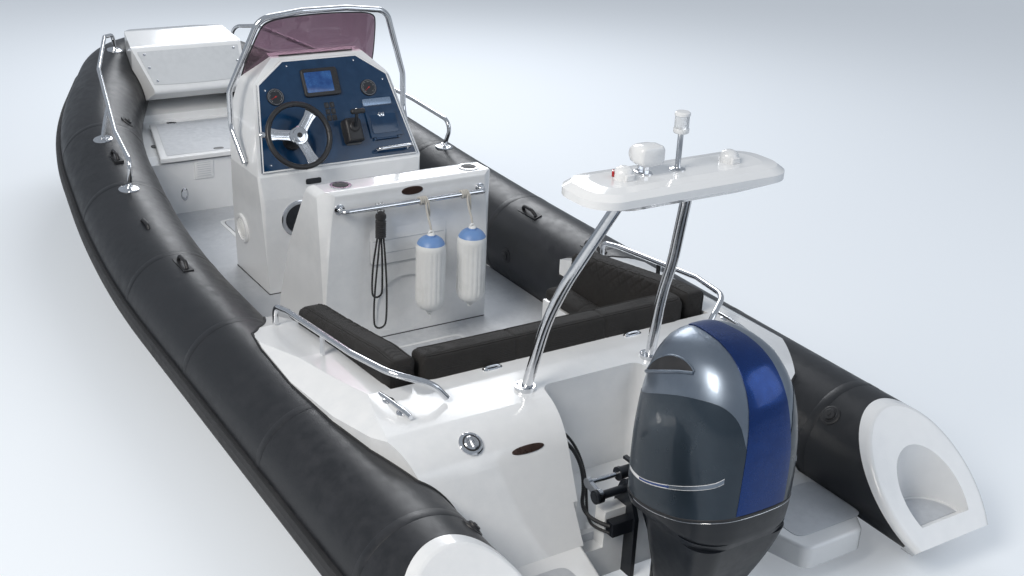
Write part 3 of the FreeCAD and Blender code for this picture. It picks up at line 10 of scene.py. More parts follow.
import bmesh
import bpy
from mathutils import Matrix, Vector
from mathutils.bvhtree import BVHTree
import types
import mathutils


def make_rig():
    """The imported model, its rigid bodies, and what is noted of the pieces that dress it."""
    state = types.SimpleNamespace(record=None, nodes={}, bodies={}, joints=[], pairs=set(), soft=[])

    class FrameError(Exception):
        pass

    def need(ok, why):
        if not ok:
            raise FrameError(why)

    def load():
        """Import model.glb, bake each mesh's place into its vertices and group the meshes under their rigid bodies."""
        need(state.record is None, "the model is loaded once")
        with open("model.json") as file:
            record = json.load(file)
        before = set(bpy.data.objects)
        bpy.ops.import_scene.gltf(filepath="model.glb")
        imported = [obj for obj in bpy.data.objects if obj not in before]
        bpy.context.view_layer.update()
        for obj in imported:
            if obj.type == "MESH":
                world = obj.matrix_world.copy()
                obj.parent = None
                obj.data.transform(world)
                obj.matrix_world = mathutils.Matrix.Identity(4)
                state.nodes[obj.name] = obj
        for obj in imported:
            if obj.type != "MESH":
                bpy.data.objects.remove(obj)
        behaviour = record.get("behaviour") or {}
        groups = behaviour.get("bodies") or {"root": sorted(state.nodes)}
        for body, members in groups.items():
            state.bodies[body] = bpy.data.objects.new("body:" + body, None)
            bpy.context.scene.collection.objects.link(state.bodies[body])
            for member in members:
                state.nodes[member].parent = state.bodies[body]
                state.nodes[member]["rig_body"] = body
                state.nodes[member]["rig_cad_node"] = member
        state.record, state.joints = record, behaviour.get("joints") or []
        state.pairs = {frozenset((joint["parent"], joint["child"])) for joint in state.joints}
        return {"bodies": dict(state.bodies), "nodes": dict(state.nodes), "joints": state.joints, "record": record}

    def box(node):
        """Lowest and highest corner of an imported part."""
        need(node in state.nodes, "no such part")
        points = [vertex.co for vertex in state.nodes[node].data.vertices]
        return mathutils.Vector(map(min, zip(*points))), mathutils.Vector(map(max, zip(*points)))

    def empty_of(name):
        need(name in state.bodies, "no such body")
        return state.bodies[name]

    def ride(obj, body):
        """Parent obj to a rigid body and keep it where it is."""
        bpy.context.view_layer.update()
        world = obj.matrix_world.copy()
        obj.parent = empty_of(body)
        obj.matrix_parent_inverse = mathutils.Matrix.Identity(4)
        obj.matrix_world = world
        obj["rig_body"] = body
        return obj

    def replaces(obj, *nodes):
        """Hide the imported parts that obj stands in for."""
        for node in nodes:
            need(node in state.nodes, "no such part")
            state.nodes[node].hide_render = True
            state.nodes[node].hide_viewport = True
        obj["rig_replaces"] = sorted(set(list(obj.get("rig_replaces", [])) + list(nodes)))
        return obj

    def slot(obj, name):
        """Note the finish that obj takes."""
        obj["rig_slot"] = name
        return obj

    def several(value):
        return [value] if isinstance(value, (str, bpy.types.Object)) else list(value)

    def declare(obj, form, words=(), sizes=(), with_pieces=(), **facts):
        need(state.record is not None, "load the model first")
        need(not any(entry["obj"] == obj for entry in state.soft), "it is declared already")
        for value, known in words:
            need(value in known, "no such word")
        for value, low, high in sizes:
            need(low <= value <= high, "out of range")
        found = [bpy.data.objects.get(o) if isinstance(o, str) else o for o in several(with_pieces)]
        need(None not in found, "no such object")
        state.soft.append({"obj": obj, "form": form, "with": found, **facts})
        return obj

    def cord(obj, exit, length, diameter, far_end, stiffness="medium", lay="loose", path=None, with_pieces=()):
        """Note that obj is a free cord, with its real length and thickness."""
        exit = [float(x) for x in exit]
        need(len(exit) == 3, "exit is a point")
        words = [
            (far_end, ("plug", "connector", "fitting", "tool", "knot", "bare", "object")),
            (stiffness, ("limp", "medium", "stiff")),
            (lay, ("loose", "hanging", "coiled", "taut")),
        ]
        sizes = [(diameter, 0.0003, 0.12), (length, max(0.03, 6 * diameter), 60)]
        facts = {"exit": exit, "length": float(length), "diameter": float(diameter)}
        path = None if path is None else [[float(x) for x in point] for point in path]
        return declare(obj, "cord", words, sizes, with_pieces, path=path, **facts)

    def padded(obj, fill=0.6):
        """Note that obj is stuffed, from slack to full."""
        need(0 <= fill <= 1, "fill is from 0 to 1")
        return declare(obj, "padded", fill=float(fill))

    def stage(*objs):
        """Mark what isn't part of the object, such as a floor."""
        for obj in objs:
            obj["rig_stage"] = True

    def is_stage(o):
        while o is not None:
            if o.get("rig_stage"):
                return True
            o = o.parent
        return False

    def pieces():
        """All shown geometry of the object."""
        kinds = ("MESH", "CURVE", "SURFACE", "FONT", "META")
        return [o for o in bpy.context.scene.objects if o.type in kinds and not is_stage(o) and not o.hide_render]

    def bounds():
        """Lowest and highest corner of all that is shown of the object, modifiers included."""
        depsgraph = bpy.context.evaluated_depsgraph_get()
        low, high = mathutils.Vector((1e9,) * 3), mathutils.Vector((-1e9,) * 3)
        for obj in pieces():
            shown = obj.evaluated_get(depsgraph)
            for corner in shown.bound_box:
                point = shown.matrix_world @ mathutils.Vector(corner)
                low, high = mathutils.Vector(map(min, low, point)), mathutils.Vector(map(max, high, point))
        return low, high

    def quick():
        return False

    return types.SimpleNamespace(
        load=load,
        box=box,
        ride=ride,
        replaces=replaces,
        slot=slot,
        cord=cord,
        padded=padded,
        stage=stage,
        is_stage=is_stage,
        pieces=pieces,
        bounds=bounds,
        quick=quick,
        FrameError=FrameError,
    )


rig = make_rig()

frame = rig.load()

LOG = logging.getLogger("rib_boat")
NODES = frame["nodes"]
SIDES = ((1, "port"), (-1, "starboard"))
DOWN = Vector((0, 0, -1))
AFT = Vector((-1, 0, 0))

Form = bmesh.types.BMesh
Tree = bpy.types.NodeTree
Socket = bpy.types.NodeSocket

shifted = Matrix.Translation
rotated = Matrix.Rotation


def box_of(node: str) -> tuple:
    """The two corners of a frame node's box."""
    return tuple(Vector(corner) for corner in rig.box(node))


def add_node(tree: Tree, kind: str, inputs: dict, **settings: object) -> bpy.types.Node:
    """Add a shader node to a tree.

    Args:
        tree: the node tree.
        kind: the node's type, without its first word.
        inputs: a value or a socket to link, by the input's name or number.
        settings: the node's own choices.

    Returns:
        The node.
    """
    made = tree.nodes.new("ShaderNode" + kind)
    for name, choice in settings.items():
        setattr(made, name, choice)
    fill_node(tree, made, inputs)
    return made


def fill_node(tree: Tree, made: bpy.types.Node, inputs: dict) -> None:
    """Set or link a node's inputs.

    Args:
        tree: the node tree.
        made: the node.
        inputs: a value or a socket to link, by the input's name or number.
    """
    for key, value in inputs.items():
        if isinstance(value, Socket):
            tree.links.new(value, made.inputs[key])
        else:
            made.inputs[key].default_value = value


class Pattern(Enum):
    """Fine surface relief of a finish."""

    GELCOAT = "gelcoat"
    GRAIN = "grain"
    WEAVE = "weave"
    CLOTH = "cloth"
    NONSKID = "nonskid"
    POLISH = "polish"
    FLAKE = "flake"


class Shaders:
    """Shader node groups shared by the finishes, each built once."""

    def __init__(self) -> None:
        """Build every group."""
        self.tone = self._tone()
        self.relief = {Pattern.GELCOAT: self._noise_relief("gelcoat relief", 2.0),
            Pattern.GRAIN: self._noise_relief("grain relief", 6.0),
            Pattern.FLAKE: self._noise_relief("flake relief", 4.0),
            Pattern.WEAVE: self._weave_relief("weave relief", False),
            Pattern.CLOTH: self._weave_relief("cloth relief", True), Pattern.NONSKID: self._nonskid_relief(),
            Pattern.POLISH: self._polish_relief(),}

    @staticmethod
    def _start(name: str, outputs: tuple = ("Height",)) -> tuple:
        """Make an empty group with a position and a scale input.

        Args:
            name: the group's name.
            outputs: names of its number outputs.

        Returns:
            The tree, its position and scale sockets, and its output node.
        """
        tree = bpy.data.node_groups.new(name, "ShaderNodeTree")
        tree.interface.new_socket("Position", in_out="INPUT", socket_type="NodeSocketVector")
        scale = tree.interface.new_socket("Scale", in_out="INPUT", socket_type="NodeSocketFloat")
        scale.default_value = 1.0
        for output in outputs:
            tree.interface.new_socket(output, in_out="OUTPUT", socket_type="NodeSocketFloat")
        entry = tree.nodes.new("NodeGroupInput")
        return tree, entry.outputs["Position"], entry.outputs["Scale"], tree.nodes.new("NodeGroupOutput")

    def _tone(self) -> Tree:
        """Broad and fine unevenness of colour and gloss."""
        tree, position, scale, leave = self._start("surface tone", ("Broad", "Fine"))
        for output, factor, detail in (("Broad", 1.0, 5.0), ("Fine", 14.0, 8.0)):
            sized = add_node(tree, "Math", {0: scale, 1: factor}, operation="MULTIPLY").outputs[0]
            noise = add_node(tree, "TexNoise", {"Vector": position, "Scale": sized, "Detail": detail,
                "Roughness": 0.6})
            spread = add_node(tree, "MapRange", {"Value": noise.outputs[0], "From Min": 0.35, "From Max": 0.65})
            fill_node(tree, leave, {output: spread.outputs[0]})
        return tree

    def _noise_relief(self, name: str, detail: float) -> Tree:
        """Relief from one noise, with a name and its octaves."""
        tree, position, scale, leave = self._start(name)
        noise = add_node(tree, "TexNoise", {"Vector": position, "Scale": scale, "Detail": detail})
        fill_node(tree, leave, {"Height": noise.outputs[0]})
        return tree

    def _weave_relief(self, name: str, coarse: bool) -> Tree:
        """Threads that cross in all three directions; coarse ones are uneven, as upholstery cloth's."""
        tree, position, scale, leave = self._start(name)
        total = None
        for direction in "XYZ":
            wave = add_node(tree, "TexWave", {"Vector": position, "Scale": scale,
                "Distortion": 1.5 if coarse else 0.2, "Detail": 1.0}, bands_direction=direction).outputs["Fac"]
            total = wave if total is None else add_node(tree, "Math", {0: total, 1: wave},
                operation="MULTIPLY" if coarse else "ADD").outputs[0]
        fill_node(tree, leave, {"Height": total})
        return tree

    def _nonskid_relief(self) -> Tree:
        """Small raised dots of a non-slip moulding."""
        tree, position, scale, leave = self._start("nonskid relief")
        cells = add_node(tree, "TexVoronoi", {"Vector": position, "Scale": scale, "Randomness": 0.25})
        edge = add_node(tree, "MapRange", {"Value": cells.outputs["Distance"], "From Min": 0.28,
            "From Max": 0.42, "To Min": 1.0, "To Max": 0.0})
        fill_node(tree, leave, {"Height": edge.outputs[0]})
        return tree

    def _polish_relief(self) -> Tree:
        """Faint marks of polishing and handling on steel."""
        tree, position, scale, leave = self._start("polish relief")
        stretch = add_node(tree, "Mapping", {"Vector": position, "Scale": (0.2, 1.0, 1.0)})
        noise = add_node(tree, "TexNoise", {"Vector": stretch.outputs[0], "Scale": scale, "Detail": 3.0})
        fill_node(tree, leave, {"Height": noise.outputs[0]})
        return tree


@dataclass(frozen=True)
class Finish:
    """One procedural surface finish.

    Attributes:
        name: the material's name.
        colour: main colour, linear.
        shade: the colour it drifts to in patches.
        rough: roughness, and how far it varies.
        metal: how metallic it is.
        coat: clear coat weight.
        pattern: fine relief.
        scale: relief features per metre.
        depth: relief depth in metres.
        strength: how strongly the relief shows.
        drift: patches of tone per metre.
        glow: strength of its own light.
        clear: transmission weight of glass.
        sheen: cloth sheen weight.
    """

    name: str
    colour: tuple
    shade: tuple
    rough: tuple = (0.35, 0.1)
    metal: float = 0.0
    coat: float = 0.0
    pattern: Pattern = Pattern.GRAIN
    scale: float = 300.0
    depth: float = 0.0003
    strength: float = 0.3
    drift: float = 1.6
    glow: float = 0.0
    clear: float = 0.0
    sheen: float = 0.0

    def make(self, shaders: Shaders) -> bpy.types.Material:
        """Build the material.

        Args:
            shaders: the shared node groups.

        Returns:
            The new material.
        """
        material = bpy.data.materials.new(self.name)
        material.use_nodes = True
        tree = material.node_tree
        place = add_node(tree, "TexCoord", {}).outputs["Object"]
        tone = add_node(tree, "Group", {"Scale": self.drift, "Position": place}, node_tree=shaders.tone)
        both = add_node(tree, "Math", {0: tone.outputs["Broad"], 1: tone.outputs["Fine"]}, operation="MULTIPLY")
        blend = add_node(tree, "Mix", {0: both.outputs[0], 6: (*self.colour, 1.0), 7: (*self.shade, 1.0)},
            data_type="RGBA")
        gloss = add_node(tree, "MapRange", {"Value": tone.outputs["Fine"], "To Min": self.rough[0],
            "To Max": self.rough[0] + self.rough[1]})
        relief = add_node(tree, "Group", {"Scale": self.scale, "Position": place},
            node_tree=shaders.relief[self.pattern])
        bump = add_node(tree, "Bump", {"Strength": self.strength, "Distance": self.depth,
            "Height": relief.outputs["Height"]})
        shader = tree.nodes["Principled BSDF"]
        fill_node(tree, shader, {"Base Color": blend.outputs[2], "Roughness": gloss.outputs[0],
            "Normal": bump.outputs["Normal"], "Metallic": self.metal, "Coat Weight": self.coat,
            "Coat Roughness": 0.06, "Sheen Weight": self.sheen, "Transmission Weight": self.clear})
        if self.glow:
            fill_node(tree, shader, {"Emission Color": (*self.colour, 1.0), "Emission Strength": self.glow})
        return material


FINISHES = {
    "tube_fabric": Finish("black coated tube fabric", (0.011, 0.012, 0.0145), (0.021, 0.022, 0.026), (0.34, 0.12),
        pattern=Pattern.WEAVE, scale=420.0, strength=0.04, drift=1.2),
    "strake_rubber": Finish("black strake rubber", (0.018, 0.018, 0.02), (0.035, 0.035, 0.037), (0.5, 0.15),
        scale=300.0, depth=0.0006),
    "white_moulding": Finish("white gelcoat", (0.8, 0.81, 0.82), (0.74, 0.755, 0.77), (0.12, 0.1), coat=0.5,
        pattern=Pattern.GELCOAT, scale=40.0, depth=0.0006, strength=0.06, drift=1.0),
    "white_hull": Finish("white hull gelcoat", (0.8, 0.81, 0.82), (0.7, 0.72, 0.72), (0.14, 0.12), coat=0.4,
        pattern=Pattern.GELCOAT, scale=30.0, depth=0.0006, strength=0.06, drift=0.8),
    "deck_grip": Finish("grey non-slip sole", (0.55, 0.57, 0.6), (0.46, 0.48, 0.51), (0.5, 0.15),
        pattern=Pattern.NONSKID, scale=170.0, depth=0.0012, strength=0.5, drift=2.0),
    "cushion_cloth": Finish("charcoal upholstery", (0.009, 0.0078, 0.0072), (0.021, 0.0175, 0.016), (0.7, 0.15),
        pattern=Pattern.CLOTH, scale=260.0, depth=0.0018, strength=0.9, drift=9.0, sheen=0.04),
    "dash_navy": Finish("navy dash lacquer", (0.004, 0.029, 0.078), (0.006, 0.038, 0.098), (0.12, 0.08), coat=0.2,
        pattern=Pattern.GELCOAT, scale=30.0, strength=0.05),
    "black_plastic": Finish("black moulded plastic", (0.016, 0.016, 0.018), (0.03, 0.03, 0.032), (0.4, 0.15),
        scale=900.0),
    "stainless": Finish("polished stainless steel", (0.74, 0.75, 0.77), (0.62, 0.63, 0.65), (0.07, 0.09), metal=1.0,
        pattern=Pattern.POLISH, scale=120.0, depth=0.0002, strength=0.08, drift=5.0),
    "wheel_grip": Finish("black wheel rim", (0.016, 0.016, 0.018), (0.028, 0.028, 0.03), (0.33, 0.12),
        scale=1100.0),
    "screen_tint": Finish("smoke tinted screen", (0.27, 0.165, 0.21), (0.24, 0.15, 0.19), (0.03, 0.03), clear=0.85,
        pattern=Pattern.GELCOAT, scale=10.0, depth=0.0002, strength=0.02),
    "fender_vinyl": Finish("white fender vinyl", (0.76, 0.77, 0.77), (0.66, 0.67, 0.66), (0.33, 0.15),
        scale=200.0, depth=0.0005, strength=0.15),
    "fender_rope": Finish("pale rope", (0.52, 0.5, 0.46), (0.36, 0.34, 0.3), (0.8, 0.1), pattern=Pattern.CLOTH,
        scale=700.0, depth=0.0008, strength=0.6, sheen=0.2),
    "black_rope": Finish("black braided rope", (0.012, 0.012, 0.014), (0.03, 0.03, 0.032), (0.75, 0.15),
        pattern=Pattern.CLOTH, scale=800.0, depth=0.0008, strength=0.7, sheen=0.2),
    "lamp_white": Finish("white lamp housing", (0.78, 0.79, 0.8), (0.7, 0.71, 0.72), (0.2, 0.1), coat=0.3,
        scale=500.0, depth=0.0002, strength=0.1),
    "motor_black": Finish("black motor paint", (0.007, 0.009, 0.013), (0.014, 0.017, 0.023), (0.3, 0.12), coat=0.15,
        scale=500.0, strength=0.12),
    "cowl_blue": Finish("grey blue cowl lacquer", (0.032, 0.048, 0.066), (0.026, 0.039, 0.055), (0.27, 0.08),
        metal=0.6,
        coat=0.4, pattern=Pattern.FLAKE, scale=2500.0, depth=0.0001, strength=0.1),
    "gearcase_grey": Finish("grey gearcase paint", (0.06, 0.075, 0.1), (0.08, 0.095, 0.12), (0.32, 0.12), metal=0.3,
        coat=0.4, scale=500.0, strength=0.12),
    "propeller_metal": Finish("black propeller paint", (0.03, 0.033, 0.036), (0.06, 0.062, 0.066), (0.3, 0.2),
        metal=0.4, strength=0.15),
    "cowl_silver": Finish("silver grey cowl lacquer", (0.205, 0.245, 0.3), (0.178, 0.212, 0.262), (0.32, 0.08),
        metal=0.85,
        coat=0.4, pattern=Pattern.FLAKE, scale=2500.0, depth=0.0001, strength=0.1),
    "cowl_navy": Finish("navy cowl lacquer", (0.012, 0.045, 0.19), (0.009, 0.034, 0.15), (0.24, 0.08), metal=0.8,
        coat=0.25, pattern=Pattern.FLAKE, scale=2500.0, depth=0.0001, strength=0.08),
    "stripe_blue": Finish("blue stripe", (0.012, 0.042, 0.18), (0.009, 0.03, 0.13), (0.2, 0.08), coat=0.8,
        scale=900.0,
        depth=0.0001, strength=0.05),
    "plotter_screen": Finish("blue plotter glass", (0.01, 0.05, 0.19), (0.05, 0.17, 0.42), (0.12, 0.04), coat=0.2,
        pattern=Pattern.GELCOAT, scale=10.0, depth=0.0001, strength=0.02, drift=22.0, glow=0.1),
    "needle_red": Finish("red dial needle", (0.5, 0.03, 0.02), (0.42, 0.025, 0.02), (0.35, 0.1), scale=900.0,
        depth=0.0001, strength=0.1),
    # Painted shade: a bluish tone for the white fenders' tops where they lie in shade.
    "fender_blue": Finish("light blue fender tip", (0.16, 0.29, 0.56), (0.13, 0.245, 0.5), (0.33, 0.15), scale=250.0,
        depth=0.0004, strength=0.15),
    "bronze_plate": Finish("dark bronze plate", (0.06, 0.035, 0.028), (0.09, 0.055, 0.045), (0.25, 0.12), metal=0.6,
        scale=400.0, strength=0.15),
    "panel_grey": Finish("pale grey panel", (0.6, 0.62, 0.64), (0.52, 0.54, 0.56), (0.34, 0.12),
        depth=0.0003, strength=0.12),
    "plate_blue": Finish("pale blue blank plate", (0.24, 0.32, 0.44), (0.2, 0.27, 0.38), (0.22, 0.12), metal=0.5,
        scale=300.0, depth=0.0002, strength=0.1),
    "lens_red": Finish("red lamp lens", (0.55, 0.02, 0.02), (0.48, 0.02, 0.02), (0.08, 0.04), clear=0.35, coat=0.6,
        scale=100.0, depth=0.0002, strength=0.1),
    "lens_green": Finish("green lamp lens", (0.01, 0.32, 0.1), (0.01, 0.27, 0.08), (0.08, 0.04), clear=0.35,
        coat=0.6,
        scale=100.0, depth=0.0002, strength=0.1),
    "lens_clear": Finish("clear lamp lens", (0.86, 0.88, 0.9), (0.8, 0.82, 0.84), (0.06, 0.04), clear=0.5, coat=0.6,
        scale=100.0, depth=0.0002, strength=0.1),
}

SLOT_OF = {
    "cowl_silver": "cowl_blue", "cowl_navy": "cowl_blue", "stripe_blue": "cowl_blue", "plotter_screen": "dash_navy",
    "needle_red": "black_plastic",
    "fender_blue": "fender_vinyl", "bronze_plate": "stainless", "panel_grey": "white_moulding",
    "plate_blue": "dash_navy", "lens_red": "lamp_white",
    "lens_green": "lamp_white", "lens_clear": "lamp_white",
}


@dataclass
class Studio:
    """Floor at the waterline, soft lamps and the camera at the photograph's place.

    Attributes:
        eye: the camera's place.
        yaw: its heading, from +X towards -Y, in degrees.
        pitch: how far it looks down, in degrees.
        roll: its roll, in degrees.
        focal: focal length in pixels of the picture.
        width: the picture's width in pixels.
        sensor: the sensor's width in millimetres.
        floor_half: half the floor's side.
        floor_colour: the floor's colour.
        floor_glow: share of the backdrop's colour that the eye sees in the floor.
        backdrop: colour behind everything.
        surround: colour of the even light.
        sky: strength of the even light.
        aim: where the lamps point.
        lamps: name, place, side, watts and colour of each lamp.
    """

    eye: tuple = (-3.22, 2.64, 2.8)
    yaw: float = 33.15
    pitch: float = 22.96
    roll: float = 2.67
    focal: float = 1252.0
    width: float = 1024.0
    sensor: float = 36.0
    floor_half: float = 60.0
    floor_colour: tuple = (0.62, 0.65, 0.68)
    floor_glow: float = 0.36
    backdrop: tuple = (0.66, 0.7, 0.75)
    surround: tuple = (0.6, 0.66, 0.74)
    sky: float = 0.55
    aim: tuple = (2.2, 0.0, 0.4)
    lamps: tuple = (("key", (-1.5, 6.5, 6.5), 3.5, 560.0, (1.0, 0.95, 0.88)),
        ("fill", (-5.0, -5.0, 4.5), 5.0, 120.0, (0.86, 0.92, 1.0)), ("rim", (8.0, -3.0, 5.0), 4.0, 260.0,
        (0.95, 0.97, 1.0)))

    @staticmethod
    def stand(name: str, data: bpy.types.ID) -> bpy.types.Object:
        """Put an object with its data in the scene."""
        thing = bpy.data.objects.new(name, data)
        bpy.context.scene.collection.objects.link(thing)
        return thing

    def camera(self) -> None:
        """Place the camera."""
        yaw, pitch, roll = (math.radians(a) for a in (self.yaw, self.pitch, self.roll))
        ahead = Vector((math.cos(yaw) * math.cos(pitch), -math.sin(yaw) * math.cos(pitch), -math.sin(pitch)))
        right = Vector((-math.sin(yaw), -math.cos(yaw), 0.0))
        up = right.cross(ahead)
        right_rolled = right * math.cos(roll) + up * math.sin(roll)
        up_rolled = up * math.cos(roll) - right * math.sin(roll)
        data = bpy.data.cameras.new("camera")
        data.sensor_width = self.sensor
        data.lens = self.focal * self.sensor / self.width
        data.clip_end = 400.0
        camera = self.stand("camera", data)
        camera.matrix_world = Forms.axes(right_rolled, up_rolled, -ahead, self.eye)
        bpy.context.scene.camera = camera

    def lamp(self, name: str, place: tuple, size: float, power: float, colour: tuple) -> None:
        """Add one soft square lamp that points at the boat.

        Args:
            name: the lamp's name.
            place: where it hangs.
            size: its side.
            power: its power in watts.
            colour: its colour.
        """
        data = bpy.data.lights.new(name, "AREA")
        data.shape, data.size, data.energy, data.color = "SQUARE", size, power, colour
        turn = (Vector(self.aim) - Vector(place)).to_track_quat("-Z", "Y").to_matrix().to_4x4()
        self.stand(name, data).matrix_world = shifted(place) @ turn

    def floor(self) -> None:
        """Lay a plain pale floor at the waterline."""
        form = bmesh.new()
        bmesh.ops.create_grid(form, x_segments=1, y_segments=1, size=self.floor_half)
        mesh = bpy.data.meshes.new("floor")
        form.to_mesh(mesh)
        form.free()
        material = bpy.data.materials.new("pale floor")
        material.use_nodes = True
        tree = material.node_tree
        glow = add_node(tree, "Math", {0: self.seen_directly(tree), 1: self.floor_glow}, operation="MULTIPLY")
        fill_node(tree, tree.nodes["Principled BSDF"], {"Base Color": (*self.floor_colour, 1.0),
            "Roughness": 0.6, "Emission Color": (*self.backdrop, 1.0), "Emission Strength": glow.outputs[0]})
        mesh.materials.append(material)
        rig.stage(self.stand("floor", mesh))

    def world(self) -> None:
        """Even light all round, and a pale backdrop for the eye and through glass."""
        world = bpy.data.worlds.new("studio")
        world.use_nodes = True
        tree = world.node_tree
        back = tree.nodes["Background"]
        fill_node(tree, back, {"Color": (*self.surround, 1.0), "Strength": self.sky})
        seen = add_node(tree, "Background", {"Color": (*self.backdrop, 1.0)})
        pick = add_node(tree, "MixShader", {0: self.seen_directly(tree), 1: back.outputs[0], 2: seen.outputs[0]})
        fill_node(tree, tree.nodes["World Output"], {"Surface": pick.outputs[0]})
        bpy.context.scene.world = world

    @staticmethod
    def seen_directly(tree: Tree) -> Socket:
        """A mask of what the camera sees, also through glass."""
        path = add_node(tree, "LightPath", {}).outputs
        return add_node(tree, "Math", {0: path["Is Camera Ray"], 1: path["Is Transmission Ray"]},
            operation="MAXIMUM").outputs[0]

    def build(self) -> None:
        """Build the whole stage."""
        self.camera()
        self.floor()
        self.world()
        for row in self.lamps:
            self.lamp(*row)
        bpy.context.scene.view_settings.view_transform = "Standard"


@dataclass
class Workshop:
    """Materials by slot, and the shared way of making and placing a piece.

    Attributes:
        materials: the built finishes by slot name.
    """

    materials: dict = field(default_factory=dict)

    def __post_init__(self) -> None:
        """Build each finish once."""
        shaders = Shaders()
        for slot, finish in FINISHES.items():
            self.materials[slot] = finish.make(shaders)

    def dress_nodes(self) -> None:
        """Give every frame node its finish."""
        slots = {row["node"]: row["material_slot"] for row in frame["record"]["subparts"]}
        for name, node in NODES.items():
            node.data.materials.clear()
            node.data.materials.append(self.materials[slots[name]])

    def piece(self, name: str, form: Form | list, slot: str, body: str = "boat", smooth: float = 40.0,
            replaces: tuple = ()) -> bpy.types.Object:
        """Turn forms into one finished piece that rides on a body.

        Args:
            name: the piece's name.
            form: its form or forms, which are freed.
            slot: its finish.
            body: the body it rides on.
            smooth: edges below this angle, in degrees, are shaded smooth.
            replaces: frame nodes it stands for.

        Returns:
            The new object.
        """
        form = Forms.join(form) if isinstance(form, list) else form
        mesh = bpy.data.meshes.new(name)
        form.to_mesh(mesh)
        form.free()
        mesh.shade_smooth()
        mesh.set_sharp_from_angle(angle=math.radians(smooth))
        mesh.materials.append(self.materials[slot])
        thing = Studio.stand(name, mesh)
        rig.ride(thing, body)
        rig.slot(thing, SLOT_OF.get(slot, slot))
        if replaces:
            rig.replaces(thing, *replaces)
        LOG.info("%s: %d faces", name, len(mesh.polygons))
        return thing


